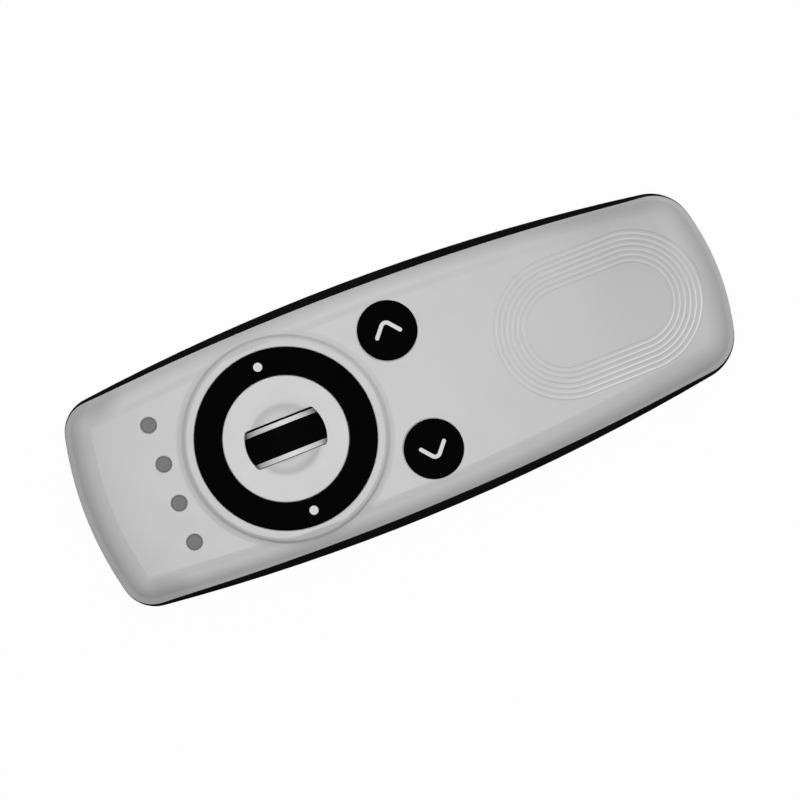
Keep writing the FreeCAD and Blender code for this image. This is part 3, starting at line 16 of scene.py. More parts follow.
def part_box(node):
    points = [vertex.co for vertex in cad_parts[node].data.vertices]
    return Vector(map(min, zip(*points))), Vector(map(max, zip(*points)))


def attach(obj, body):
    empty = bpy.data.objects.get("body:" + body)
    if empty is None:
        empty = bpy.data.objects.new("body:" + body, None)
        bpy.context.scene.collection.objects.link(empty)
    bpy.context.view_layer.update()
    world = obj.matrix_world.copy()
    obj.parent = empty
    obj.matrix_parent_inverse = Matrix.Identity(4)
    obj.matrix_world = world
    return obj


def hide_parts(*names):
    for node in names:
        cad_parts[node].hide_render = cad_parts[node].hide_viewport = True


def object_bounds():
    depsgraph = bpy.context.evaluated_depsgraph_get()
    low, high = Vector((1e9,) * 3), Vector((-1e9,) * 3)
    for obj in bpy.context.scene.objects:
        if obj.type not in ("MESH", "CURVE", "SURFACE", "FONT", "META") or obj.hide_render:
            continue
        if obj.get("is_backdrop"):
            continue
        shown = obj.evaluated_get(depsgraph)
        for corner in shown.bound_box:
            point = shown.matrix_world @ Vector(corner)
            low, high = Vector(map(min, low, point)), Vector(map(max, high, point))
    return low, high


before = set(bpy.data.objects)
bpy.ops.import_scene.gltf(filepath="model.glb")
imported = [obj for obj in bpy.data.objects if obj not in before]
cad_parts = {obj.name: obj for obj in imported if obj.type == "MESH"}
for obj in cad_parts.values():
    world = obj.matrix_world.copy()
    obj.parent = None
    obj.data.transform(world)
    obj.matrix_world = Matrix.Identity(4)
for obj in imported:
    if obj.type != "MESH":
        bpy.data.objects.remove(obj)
cad_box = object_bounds()
MM = 0.001

# %% [markdown]
# ## Where things are
#
# A finish often has to know where its piece is: turning marks run round the wheel's axle, and the grip's
# lines run round the grip. Asking the solids for these places keeps the looks right when a size changes.

# %% Find the places that the finishes use
def middle(node):
    """The middle of a solid's box."""
    low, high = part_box(node)
    return (low + high) / 2


ring_middle = middle("control_ring")
wheel_middle = middle("wheel_tyre")
wheel_radius = (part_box("wheel_tyre")[1].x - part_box("wheel_tyre")[0].x) / 2
cell_middle = middle("coin_cell")
window_pitch = (middle("light_pipe_4").y - middle("light_pipe_1").y) / 3
print("ring at", [round(v / MM, 2) for v in ring_middle], "wheel radius", round(wheel_radius / MM, 2))

# %% [markdown]
# ## The camera
#
# The picture was taken from straight above, a good arm's length away, with the remote turned by about a
# quarter of a right angle. A long lens from 0.6 m gives the same slight perspective: the top of the remote
# is drawn a little larger than its belt. The remote isn't quite in the middle of the picture, so the camera
# stands one and a half millimetres to one side. Depth of field stays off.

# %% Place the camera
TURN = math.radians(21.5)
CAMERA_HEIGHT = 0.6025
PICTURE = 800
LENS_PIXELS = 2933
CAMERA_SHIFT = (-0.94 * MM, -1.15 * MM)
camera_data = bpy.data.cameras.new("camera")
camera_data.sensor_width = 36
camera_data.lens = LENS_PIXELS / PICTURE * camera_data.sensor_width
camera_data.clip_start = 0.01
camera = bpy.data.objects.new("camera", camera_data)
camera.location = (*CAMERA_SHIFT, CAMERA_HEIGHT)
camera.rotation_euler = (0, 0, -TURN)
bpy.context.scene.collection.objects.link(camera)
bpy.context.scene.camera = camera
print("lens", round(camera_data.lens, 1), "mm")

# %% [markdown]
# ## Writing materials as arithmetic
#
# A Blender material is a graph of nodes. Written as Python it's easier to read when sockets can be added and
# multiplied like numbers, so one small class wraps a socket and turns each operator into a Math node. A
# second class holds a graph and adds any other node from its type, its settings and its inputs.

# %% A socket that understands arithmetic
class Wire:
    """An output socket. Arithmetic on it adds Math nodes to its graph."""

    def __init__(self, graph, socket):
        self.graph = graph
        self.socket = socket

    def math(self, operation, *values):
        return self.graph.add("Math", {"operation": operation}, dict(enumerate(values)))

    def __add__(self, other):
        return self.math("ADD", self, other)

    def __sub__(self, other):
        return self.math("SUBTRACT", self, other)

    def __rsub__(self, other):
        return self.math("SUBTRACT", other, self)

    def __mul__(self, other):
        return self.math("MULTIPLY", self, other)

    def __truediv__(self, other):
        return self.math("DIVIDE", self, other)

    def __lt__(self, other):
        return self.math("LESS_THAN", self, other)

    def __gt__(self, other):
        return self.math("GREATER_THAN", self, other)

    def __abs__(self):
        return self.math("ABSOLUTE", self)

    def larger(self, other):
        return self.math("MAXIMUM", self, other)

    def smaller(self, other):
        return self.math("MINIMUM", self, other)

    def reach(self, other):
        """The length of a step of self one way and other across it."""
        square = self * self + other * other
        return self.math("SQRT", square)

    def to_nearest(self, pitch):
        """The distance to the nearest whole multiple of pitch."""
        return self.math("PINGPONG", self, pitch / 2)

    __radd__ = __add__
    __rmul__ = __mul__


# %% A graph of nodes
class Graph:
    """The nodes of a material or of the world."""

    def __init__(self, tree):
        self.tree = tree
        tree.nodes.clear()

    def feed(self, socket, value):
        if isinstance(value, Wire):
            self.tree.links.new(value.socket, socket)
        else:
            socket.default_value = value

    def add(self, kind, settings=None, inputs=None, output=0):
        """Adds a node: its settings first, then the values or wires of its sockets."""
        node = self.tree.nodes.new("ShaderNode" + kind)
        for name, value in (settings or {}).items():
            setattr(node, name, value)
        for socket, value in (inputs or {}).items():
            self.feed(node.inputs[socket], value)
        return Wire(self, node.outputs[output] if node.outputs else None)

    def seen(self):
        """1 for what the lens, a reflection or a clear piece sees, and 0 for light on the remote."""
        rays = [self.add("LightPath", output=f"Is {ray} Ray") for ray in ("Camera", "Glossy", "Transmission")]
        return rays[0].larger(rays[1]).larger(rays[2])


print("graphs can be written")

# %% [markdown]
# ## The studio
#
# The picture has a pure white ground, as product pictures do. If lamps made it white they would also bleach
# the remote, so the world and the floor answer by the kind of ray: the lens and reflections see white, while
# the light that falls on the remote comes from a dim world and the lamps. The floor keeps a small share of
# its real shading, so the remote's soft shadow stays on it.

# %% Make the world and the floor
DIM = 0.1
FLOOR_GLOW = 0.98
FLOOR_SIZE = 3.0
WHITE = (1, 1, 1, 1)
PAPER_GREY = (0.5, 0.5, 0.5, 1)
scene = bpy.context.scene
scene.view_settings.view_transform = "Standard"
scene.world = bpy.data.worlds.new("studio")
scene.world.use_nodes = True
air = Graph(scene.world.node_tree)
sky = air.add("Background", inputs={"Color": WHITE, "Strength": DIM + (1 - DIM) * air.seen()})
air.add("OutputWorld", inputs={"Surface": sky})

floor_mesh = bmesh.new()
bmesh.ops.create_grid(floor_mesh, x_segments=1, y_segments=1, size=FLOOR_SIZE)
floor_data = bpy.data.meshes.new("floor")
floor_mesh.to_mesh(floor_data)
floor_mesh.free()
floor = bpy.data.objects.new("floor", floor_data)
scene.collection.objects.link(floor)
paper = bpy.data.materials.new("paper")
paper.use_nodes = True
sheet = Graph(paper.node_tree)
matt = sheet.add("BsdfDiffuse", inputs={"Color": PAPER_GREY})
glow = sheet.add("Emission", inputs={"Color": WHITE, "Strength": 1.0})
shown = sheet.add("MixShader", inputs={0: FLOOR_GLOW * sheet.seen(), 1: matt, 2: glow})
sheet.add("OutputMaterial", inputs={"Surface": shown})
floor_data.materials.append(paper)
floor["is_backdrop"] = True
print("the floor glows to the lens at", FLOOR_GLOW)

# %% [markdown]
# ## Light
#
# Faces that look up are bright in the picture and every slope falls off into grey, on all four sides, a
# little less at the top. That is a very wide softbox overhead which leans to the top and a touch to the
# right. There is also a soft bright patch on the flat top, left of the middle. That is the sheen of the paint
# under a smaller lamp near the camera, so a second disk hangs where the top mirrors it to that patch.

# %% Hang the lamps
def area_lamp(name, power, size, place):
    """A round lamp at place that faces the remote."""
    data = bpy.data.lights.new(name, "AREA")
    data.energy = power
    data.shape = "DISK"
    data.size = size
    lamp = bpy.data.objects.new(name, data)
    lamp.location = place
    lamp.rotation_euler = (-place).to_track_quat("-Z", "Y").to_euler()
    scene.collection.objects.link(lamp)
    print(name, "at", [round(v, 2) for v in place], "m")


picture_up = Vector((math.sin(TURN), math.cos(TURN), 0))
picture_right = Vector((math.cos(TURN), -math.sin(TURN), 0))
overhead = picture_up * 0.37 + picture_right * 0.09 + Vector((0, 0, 0.92))
area_lamp("softbox", power=5.95, size=1.2, place=overhead)
area_lamp("small lamp", power=1.06, size=0.2, place=Vector((-0.040, -0.015, 0.55)))

# %% [markdown]
# ## What every finish has
#
# Each finish is one Principled BSDF with its constants set on the sockets, and a few numbers that vary over
# the surface: colour, roughness and a bump. They all read Object coordinates, which are metres here, so a
# grain of 0.3 mm is written as 0.3 mm and sits still on its piece.

# %% A finish
class Finish(Graph):
    """One procedural material."""

    def __init__(self, name, roughness, **constants):
        self.material = bpy.data.materials.new(name)
        self.material.use_nodes = True
        super().__init__(self.material.node_tree)
        surface = self.add("BsdfPrincipled")
        self.shader = surface.socket.node
        self.add("OutputMaterial", inputs={"Surface": surface})
        self.set("Roughness", roughness)
        for socket, value in constants.items():
            self.set(socket.replace("_", " "), value)
        self.place = self.add("TexCoord", output="Object")

    def set(self, socket, value):
        self.feed(self.shader.inputs[socket], value)

    def axes(self, origin=(0, 0, 0)):
        """x, y and z in millimetres from a point."""
        shifted = self.add("VectorMath", {"operation": "SUBTRACT"}, {0: self.place, 1: origin})
        return [self.add("SeparateXYZ", inputs={0: shifted}, output=axis) * (1 / MM) for axis in "XYZ"]

    def spot(self, x, y, z=0.0):
        """A point made of three wires or numbers."""
        return self.add("CombineXYZ", inputs={0: x, 1: y, 2: z})

    def noise(self, size, detail=2.0, at=None):
        """Cloudy noise from 0 to 1 with lumps of a size in millimetres."""
        scale = 1 / size if at else 1 / (size * MM)
        inputs = {"Vector": at or self.place, "Scale": scale, "Detail": detail}
        return self.add("TexNoise", inputs=inputs, output="Fac")

    def ramp(self, value, start, end):
        """0 before start, 1 past end, smooth between them. End may be the smaller one."""
        inputs = {"Value": value, "From Min": start, "From Max": end}
        return self.add("MapRange", {"interpolation_type": "SMOOTHSTEP"}, inputs)

    def color(self, low, high, mask):
        """Base colour from low to high as the mask goes from 0 to 1."""
        self.set("Base Color", self.blend(low, high, mask))

    def blend(self, low, high, mask):
        """A colour between low and high. Its sockets in a Mix node go by number, as their names repeat."""
        ends = [value if isinstance(value, Wire) else (*value, 1) for value in (low, high)]
        return self.add("Mix", {"data_type": "RGBA"}, {0: mask, 6: ends[0], 7: ends[1]}, output=2)

    def bump(self, height):
        """Tilts the surface as a height in millimetres would."""
        self.set("Normal", self.add("Bump", inputs={"Height": height, "Distance": MM}))

    def dress(self, *nodes):
        """Gives the finish to CAD solids."""
        for name in nodes:
            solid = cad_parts[name]
            solid.data.materials.clear()
            solid.data.materials.append(self.material)


def grey(value):
    return (value, value, value)


print("finishes can be written")

# %% [markdown]
# ## Satin grey cover
#
# The cover is light grey, between silver paint and plain plastic, with a soft even sheen and no sparkle. A
# single flat grey would look like a screen drawing. Real satin varies a little in tone and gloss from place
# to place and has a fine grain, so two noises do that, each at its own size.
#
# The grip's seven lines are cut in CAD with flat floors. On the real cover they are round-bottomed, and the
# strips between them are crowned. The distance to the nearest line comes from the shape of the grip, which
# is a rectangle with round ends, and a bump lowers the surface near zero and raises it half way between two
# lines. The same bump softens the foot of the collar round the ring into the shallow crease of the picture.
# A pair of numbers below says where a mask starts and where it is full, in millimetres.

# %% Find the grip's lines and the collar's crease
GRIP_MIDDLE = (42.16 * MM, 0, 0)
GRIP_STRAIGHT = 14.2
GRIP_FLOOR = 15.8
LINES = 7
FIRST_LINE = 7.9
LINE_PITCH = 1.08
LAST_LINE = FIRST_LINE + (LINES - 1) * LINE_PITCH
LINE_HALF_WIDTH = 0.17
LINE_DEPTH = 0.02
CROWN = (0.3, LINE_PITCH / 2)
HIGHLIGHT_CROWN = (0.36, 0.5)
HIGHLIGHT_REACH = (4, 13)
HIGHLIGHT_SIDE = Vector((0.35, -0.94))
CREASE = 20.55
CREASE_STEP = 0.26
CREASE_EASE = 0.17
STEP_SPAN = (CREASE - 0.4, CREASE + 0.4)
EASE_SPAN = (CREASE - 0.3, CREASE + 1.4)

satin = Finish("satin_grey", 0.38, Specular_IOR_Level=0.4)
x, y, z = satin.axes(GRIP_MIDDLE)
reach = (abs(x) - GRIP_STRAIGHT / 2).larger(0).reach(y)
beside = (reach - FIRST_LINE).to_nearest(LINE_PITCH)
among = (reach > FIRST_LINE - LINE_HALF_WIDTH) * (reach < LAST_LINE + LINE_HALF_WIDTH) * (z > GRIP_FLOOR)
line = among * (1 - (beside / LINE_HALF_WIDTH).smaller(1))
crown = among * satin.ramp(beside, *CROWN)
toward_highlight = HIGHLIGHT_SIDE.x * x + HIGHLIGHT_SIDE.y * y
# Painted highlight: the crowned strips on one side of the grip are painted much lighter.
painted_grip_highlight = among * satin.ramp(beside, *HIGHLIGHT_CROWN) * satin.ramp(toward_highlight, *HIGHLIGHT_REACH)

x, y, z = satin.axes((ring_middle.x, ring_middle.y, 0))
from_ring = x.reach(y)
crease = CREASE_STEP * satin.ramp(from_ring, *STEP_SPAN) + CREASE_EASE * satin.ramp(from_ring, *EASE_SPAN)
satin.set("Roughness", 0.33 + 0.1 * satin.noise(5))
satin.bump(0.003 * satin.noise(0.28) - LINE_DEPTH * line + LINE_DEPTH * crown - crease)
print("the grip's", LINES, "lines run from", FIRST_LINE, "to", round(LAST_LINE, 2), "mm")

# %% [markdown]
# ## Painted light and shade on the cover
#
# The cover's colour carries painted light and shade. The crowned strips of the grip are painted a little
# lighter, and those on one side of the grip much lighter, as painted highlights. The slope of the rounded
# border of both sides is painted lighter. One corner of the grip is painted darker. The front end's slope
# and the brow above it are painted darker too, as painted shade.
#
# The top is a very flat arch whose crest is at the ring. How far a point lies below that arch tells the
# rounded border from the top. The front end is one arc in plan, which gives the distance to its edge.

# %% Mix the cover's tones
CREST = 20
ARCH_ALONG = 1800
ARCH_ACROSS = 800
FRONT_RADIUS = 70.5
FRONT_CENTRE = 1.5
BORDER_DEPTH = (-0.04, 0.4)
SIDE_STRIP = (13, 15)
SIDE_ENDS = (60, 50)
SIDE_FADE = (-5, 40)
GRIP_SHADE_START = (34, 50)
GRIP_SHADE_END = (64, 58)
GRIP_SHADE_SIDE = (-8, 12)
SLOPE_DEPTH = (1.5, 4.2)
SLOPE_START = (-56, -62)
BROW_START = (14, 7)
BROW_END = (5.2, 7)

x, y, z = satin.axes()
from_crest = x - ring_middle.x / MM
depth = CREST - from_crest * from_crest / (2 * ARCH_ALONG) - y * y / (2 * ARCH_ACROSS) - z
border = satin.ramp(depth, *BORDER_DEPTH) * satin.ramp(abs(y), *SIDE_STRIP)
# Painted light: the slope of the rounded border on both sides is painted lighter, less towards the grip end.
painted_side_light = border * satin.ramp(abs(x), *SIDE_ENDS) * (1 - 0.55 * satin.ramp(x, *SIDE_FADE))
# Painted shade: one corner of the grip is painted darker, more towards one side.
painted_grip_shade = satin.ramp(x, *GRIP_SHADE_START) * satin.ramp(x, *GRIP_SHADE_END) * (0.35 + 0.65 * satin.ramp(y, *GRIP_SHADE_SIDE))
# Painted shade: the front end's slope is painted darker.
painted_end_shade = satin.ramp(depth, *SLOPE_DEPTH) * satin.ramp(x, *SLOPE_START)
# Painted shade: the brow of the top just inside the front end is painted darker.
from_front = FRONT_RADIUS - (x - FRONT_CENTRE).reach(y)
painted_brow_shade = satin.ramp(from_front, *BROW_START) * satin.ramp(from_front, *BROW_END) * (x < 0)

paint = satin.blend(grey(0.495), grey(0.52), satin.noise(9, detail=3))
# Painted light and shade, one tone each: lighter border slopes, a darker grip corner, a darker front slope
# and brow, and lighter crowned strips as a painted highlight.
for tone, place in ((0.62, painted_side_light), (0.435, 0.85 * painted_grip_shade), (0.39, painted_end_shade), (0.47, painted_brow_shade), (0.56, crown)):
    paint = satin.blend(paint, grey(tone), place)
# The painted highlight on one side of the grip's strips goes on last.
satin.color(paint, grey(0.76), painted_grip_highlight)
satin.dress("top_cover")
# The lighter and darker tones above are painted light and shade.
print("the cover is painted and worn")

# %% [markdown]
# ## The centre disc
#
# The disc has the same paint, a touch lighter. The flank of its finger dish is painted darker, most on
# one side, as a painted shade. A bump makes the rim of that flank a little tighter.

# %% Mix the disc's grey
FLANK_START = (4.6, 6.6)
FLANK_END = (7.7, 6.7)
FLANK_RIM = (5.9, 7.3)
SHADE_FADE_DIRECTION = Vector((0.37, 0.93))
disc_satin = Finish("disc_satin", 0.38, Specular_IOR_Level=0.35)
x, y, z = disc_satin.axes((ring_middle.x, ring_middle.y, 0))
from_middle = x.reach(y)
flank = disc_satin.ramp(from_middle, *FLANK_START) * disc_satin.ramp(from_middle, *FLANK_END)
# Painted shade: the flank of the dish is painted darker, fading out towards one side.
shade_fade = 0.05 * (SHADE_FADE_DIRECTION.x * x + SHADE_FADE_DIRECTION.y * y)
dust_and_painted_shade = (0.8 - shade_fade).smaller(1) * (0.7 + 0.3 * disc_satin.noise(2.5))
paint = disc_satin.blend(grey(0.55), grey(0.575), disc_satin.noise(7, detail=3))
disc_satin.color(paint, grey(0.42), flank * dust_and_painted_shade)
disc_satin.set("Roughness", 0.33 + 0.1 * disc_satin.noise(4))
disc_satin.bump(0.003 * disc_satin.noise(0.28) + 0.045 * disc_satin.ramp(from_middle, *FLANK_RIM))
disc_satin.dress("centre_disc")
print("the disc is painted")

# %% [markdown]
# ## Black moulded plastic
#
# The shell below, the ring and the keys are all black, but they aren't one black. The shell and its door
# have the fine spark-eroded texture that a mould maker gives to parts that are handled and not looked at. The
# ring is smoother, with the faint circles of a turned mould. The keys are the finest, with a touch of gloss.
# In the picture all of them are almost pure black, so the colours are very dark and the mirror part is low.
# The shell turns to a dark grey towards the table, a painted light that stands for the floor's bounce.

# %% Mix the blacks
BOUNCE_HEIGHT = (7, 1.5)
shell_black = Finish("moulded_black", 0.6, Specular_IOR_Level=0.0005)
x, y, z = shell_black.axes()
# Painted light: the shell is painted lighter towards the table, mottled by noise.
painted_bounce_light = shell_black.ramp(z, *BOUNCE_HEIGHT) * (0.6 + 0.4 * shell_black.noise(5, detail=4))
fresh = shell_black.blend(grey(0.003), grey(0.007), shell_black.noise(6, detail=3))
shell_black.color(fresh, grey(0.045), painted_bounce_light)
pits = shell_black.noise(0.45, detail=3)
shell_black.set("Roughness", 0.54 + 0.14 * pits)
shell_black.bump(0.03 * pits)
shell_black.dress("base_shell", "battery_door")

ring_black = Finish("ring_black", 0.5, Specular_IOR_Level=0.002)
ring_black.color(grey(0.0008), grey(0.0020), ring_black.noise(4))
x, y, z = ring_black.axes((ring_middle.x, ring_middle.y, 0))
from_centre = x.reach(y)
circles = ring_black.noise(0.25, at=ring_black.spot(from_centre, 0.0))
ring_black.set("Roughness", 0.46 + 0.12 * circles)
ring_black.bump(0.004 * circles + 0.003 * ring_black.noise(0.2))
ring_black.dress("control_ring")

key_black = Finish("key_black", 0.45, Specular_IOR_Level=0.002)
key_black.color(grey(0.0008), grey(0.0020), key_black.noise(3))
key_black.set("Roughness", 0.42 + 0.1 * key_black.noise(1.5))
key_black.bump(0.003 * key_black.noise(0.15))
key_black.dress("right_button", "left_button")
print("blacks: shell, ring and keys")

# %% [markdown]
# ## Marks and windows
#
# The two dots and the chevrons are moulded into the black in a second shot of off-white plastic. A second
# shot is never quite even, so its tone drifts a little. The four windows are the ends of clear pipes behind
# a smoky tint. They are off in the picture and look flat mid grey, with a painted shade that makes them a
# little darker where the pipe's round wall begins. The distance from the nearest window's middle gives that
# rim.

# %% Mix the off-white and the smoke
mark_white = Finish("mark_white", 0.45, Specular_IOR_Level=0.3)
mark_white.color(grey(0.64), grey(0.70), mark_white.noise(0.8))
mark_white.set("Roughness", 0.4 + 0.12 * mark_white.noise(0.5))
mark_white.bump(0.002 * mark_white.noise(0.12))
mark_white.dress("ring_dot_right", "ring_dot_left", "right_chevron", "left_chevron")

PIPE_WALL = (1.15, 1.6)
smoke = Finish("smoked_window", 0.4, Specular_IOR_Level=0.15)
x, y, z = smoke.axes((middle("light_pipe_1").x, middle("light_pipe_1").y, 0))
from_window = x.reach(y.to_nearest(window_pitch / MM))
# Painted shade: each window is painted darker towards its rim.
painted_rim_shade = smoke.ramp(from_window, *PIPE_WALL)
tint = smoke.blend(grey(0.158), grey(0.176), smoke.noise(0.9))
smoke.color(tint, grey(0.12), painted_rim_shade)
smoke.set("Roughness", 0.38 + 0.1 * smoke.noise(0.6) + 0.1 * painted_rim_shade)
smoke.bump(0.003 * smoke.noise(0.2))
smoke.dress("light_pipe_1", "light_pipe_2", "light_pipe_3", "light_pipe_4")
print("windows every", round(window_pitch / MM, 2), "mm")

# %% [markdown]
# ## The wheel's silver
#
# The wheel's rims are silver paint over moulded plastic. The picture shows them pale and even, not as a
# mirror, so Metallic stays low. The mould was turned and left fine lines that run round the axle. Noise that
# is read at only two numbers, the distance from the axle and the place along it, has the same value all the
# way round, so it draws exactly those lines.

# %% Mix the turned silver
silver = Finish("turned_silver", 0.5, Metallic=0.05, Specular_IOR_Level=0.3)
x, y, z = silver.axes(wheel_middle)
turning = silver.noise(0.12, detail=3, at=silver.spot(x.reach(z), y))
silver.color(grey(0.60), grey(0.72), turning)
silver.set("Roughness", 0.44 + 0.16 * turning)
silver.bump(0.006 * turning)
silver.dress("wheel_hub")
print("the wheel's axle is at height", round(wheel_middle.z / MM, 2), "mm")

# %% [markdown]
# ## Rubber and silicone
#
# The tyre is a dense black rubber, dull and slightly dusty. The domes under the keys and the ring are milky
# silicone that lets light in a little way, so they get some subsurface light. Their feet are pressed carbon
# pills, with the specks of the powder.

# %% Mix the rubber, the silicone and the carbon
rubber = Finish("tyre_rubber", 0.65, Specular_IOR_Level=0.005)
dust_and_painted_shade = rubber.noise(1.2, detail=4)
rubber.color(grey(0.0015), grey(0.0035), dust_and_painted_shade)
rubber.set("Roughness", 0.52 + 0.2 * dust_and_painted_shade)
rubber.bump(0.01 * rubber.noise(0.15))

LIGHT_REACH = 1.5 * MM
silicone = Finish("milky_silicone", 0.5, Subsurface_Weight=0.25, Subsurface_Scale=LIGHT_REACH,
                  Specular_IOR_Level=0.4)
silicone.color((0.52, 0.53, 0.52), (0.62, 0.62, 0.60), silicone.noise(2.5, detail=3))
silicone.set("Roughness", 0.42 + 0.15 * silicone.noise(1))
silicone.bump(0.006 * silicone.noise(0.3))
silicone.dress("right_dome", "left_dome", "ring_dome_right", "ring_dome_left")

carbon = Finish("carbon_pill", 0.7)
specks = carbon.noise(0.18, detail=3)
carbon.color(grey(0.008), grey(0.035), specks * specks)
carbon.set("Roughness", 0.6 + 0.25 * specks)
carbon.bump(0.01 * specks)
carbon.dress("right_contact", "left_contact", "ring_contact_right", "ring_contact_left")
print("soft pieces are mixed")

# %% [markdown]
# ## Plastic inside
#
# Parts that nobody sees are moulded in natural dark grey and show the flow of the melt as long soft streaks.
# Noise that is squeezed one way and stretched the other draws them.

# %% Mix the inner plastic
STREAK_STRETCH = 6
flow_grey = Finish("inner_grey", 0.5)
x, y, z = flow_grey.axes()
streaks = flow_grey.noise(2, detail=3, at=flow_grey.spot(x / STREAK_STRETCH, y, z))
flow_grey.color((0.15, 0.15, 0.165), (0.24, 0.24, 0.26), streaks)
flow_grey.set("Roughness", 0.42 + 0.18 * streaks)
flow_grey.bump(0.012 * flow_grey.noise(0.4))
flow_grey.dress("inner_frame", "wheel_cradle", "wheel_switch_plunger")
print("inner plastic is mixed")

# %% [markdown]
# ## Metals
#
# Strip, pins and screws are plated steel with the fine lines of rolling along them. The capacitor's can is
# duller: a grey nickel with a cloudy tone. The wheel's axle is blackened so that it doesn't glint in the gap
# beside the wheel, and the magnet on it is pressed ferrite, which is almost black.

# %% Mix the steel, the nickel and the dark metals
ROLLING_STRETCH = 12
steel = Finish("plated_steel", 0.32, Metallic=1.0)
x, y, z = steel.axes()
rolling = steel.noise(0.14, detail=3, at=steel.spot(x / ROLLING_STRETCH, y, z))
steel.color((0.50, 0.50, 0.49), (0.66, 0.66, 0.65), rolling)
steel.set("Roughness", 0.24 + 0.2 * rolling)
steel.bump(0.004 * rolling)
steel.dress("cradle_pin", "battery_contact_plus", "battery_contact_minus", "case_screws", "disc_screws",
            "radio_shield", "crystal")

nickel = Finish("grey_nickel", 0.4, Metallic=1.0)
tarnish = nickel.noise(0.9, detail=4)
nickel.color((0.20, 0.20, 0.21), (0.34, 0.34, 0.345), tarnish)
nickel.set("Roughness", 0.3 + 0.25 * tarnish)
nickel.bump(0.005 * nickel.noise(0.1))
nickel.dress("capacitor")

blackened = Finish("blackened_steel", 0.5, Metallic=1.0)
oxide = blackened.noise(0.5, detail=4)
blackened.color(grey(0.012), grey(0.03), oxide)
blackened.set("Roughness", 0.42 + 0.2 * oxide)
blackened.bump(0.004 * blackened.noise(0.12))
blackened.dress("wheel_axle")

ferrite = Finish("ferrite", 0.6, Specular_IOR_Level=0.2)
grains = ferrite.noise(0.12, detail=3)
ferrite.color(grey(0.006), grey(0.018), grains)
ferrite.set("Roughness", 0.55 + 0.2 * grains)
ferrite.bump(0.008 * grains)
ferrite.dress("encoder_magnet")
print("metals are mixed")

# %% [markdown]
# ## The circuit board
#
# A board is glass cloth in green lacquer over copper. The copper's tracks show through as slightly lighter
# green lines that run straight or at 45 degrees, and the drilled holes have tinned rims. A Voronoi pattern
# measured with the Manhattan distance has borders that run just so: where its nearest and second nearest
# points are almost equally far, there is a track. The cut edge shows the bare yellow laminate, which the
# surface's own normal picks out.

# %% Mix the board
TRACKS_PER_METRE = 260
TRACK_WIDTH = 0.07
HOLES_PER_METRE = 190
HOLE_RADIUS = 0.11
UPRIGHT = 0.5
board = Finish("circuit_green", 0.35, Coat_Weight=0.3, Coat_Roughness=0.15)
grid = {"Vector": board.place, "Scale": TRACKS_PER_METRE}
near, second = [board.add("TexVoronoi", {"feature": feature, "distance": "MANHATTAN"}, grid, "Distance")
                for feature in ("F1", "F2")]
track = second - near < TRACK_WIDTH
drilled = {"Vector": board.place, "Scale": HOLES_PER_METRE}
hole = board.add("TexVoronoi", inputs=drilled, output="Distance") < HOLE_RADIUS
weave = board.noise(0.5)
lacquer = board.blend((0.008, 0.075, 0.030), (0.014, 0.11, 0.045), weave)
lacquer = board.blend(lacquer, (0.03, 0.20, 0.075), track)
lacquer = board.blend(lacquer, (0.55, 0.55, 0.52), hole)
facing = board.add("SeparateXYZ", inputs={0: board.add("NewGeometry", output="Normal")}, output="Z")
cut = abs(facing) < UPRIGHT
board.color(lacquer, (0.42, 0.36, 0.20), cut)
board.set("Metallic", hole * (1 - cut))
board.set("Roughness", 0.28 + 0.12 * weave + 0.3 * cut)
board.bump(0.02 * track + 0.004 * weave)
board.dress("circuit_board")

# %% [markdown]
# ## Chips, diodes and the antenna
#
# Chips are cast in black epoxy full of fine silica, so they are dull and speckled. The diodes are white
# housings with a yellowish drop of phosphor over the die, found by the distance from the nearest diode's
# middle. The antenna is a pale ceramic bar with tinned ends.

# %% Mix the parts on the board
epoxy = Finish("chip_epoxy", 0.55)
silica = epoxy.noise(0.1, detail=3)
epoxy.color(grey(0.010), grey(0.032), silica)
epoxy.set("Roughness", 0.48 + 0.2 * silica)
epoxy.bump(0.006 * silica)
epoxy.dress("controller_chip", "hall_sensor", "wheel_switch")

DROP_EDGE = (0.36, 0.28)
diode = Finish("white_diode", 0.4)
x, y, z = diode.axes((middle("light_pipe_1").x, middle("light_pipe_1").y, 0))
drop = diode.ramp(x.reach(y.to_nearest(window_pitch / MM)), *DROP_EDGE)
housing = diode.blend((0.74, 0.74, 0.72), (0.82, 0.82, 0.80), diode.noise(0.4))
diode.color(housing, (0.72, 0.60, 0.14), drop)
diode.set("Roughness", 0.45 - 0.25 * drop)
diode.bump(0.05 * drop + 0.003 * diode.noise(0.1))
diode.dress("indicator_leds")

BARE_LENGTH = 7.8
ceramic = Finish("antenna_ceramic", 0.45)
x, y, z = ceramic.axes(middle("antenna"))
tinned = abs(x) > BARE_LENGTH / 2
body = ceramic.blend((0.66, 0.65, 0.60), (0.78, 0.77, 0.72), ceramic.noise(0.5))
ceramic.color(body, (0.58, 0.58, 0.56), tinned)
ceramic.set("Metallic", tinned)
ceramic.set("Roughness", 0.5 - 0.2 * tinned)
ceramic.bump(0.004 * ceramic.noise(0.12))
ceramic.dress("antenna")
print("the board's parts are mixed")

# %% [markdown]
# ## Remaking a piece
#
# A few pieces have a surface that is finer than their solid: the tyre has ribs, and the coin cell is made of
# a can, a cap and a seal. Both are turned shapes, so both start the same way: half of the section is drawn
# as a loop of points and spun round an axis. The spin closes on itself with use_merge, doubles at the axis
# are merged, and then the normals are recalculated so that every face looks outwards.

# %% Spin a section, and hand a finished piece over
SMOOTH_BELOW = math.radians(35)
SAME_PLACE = 0.001 * MM


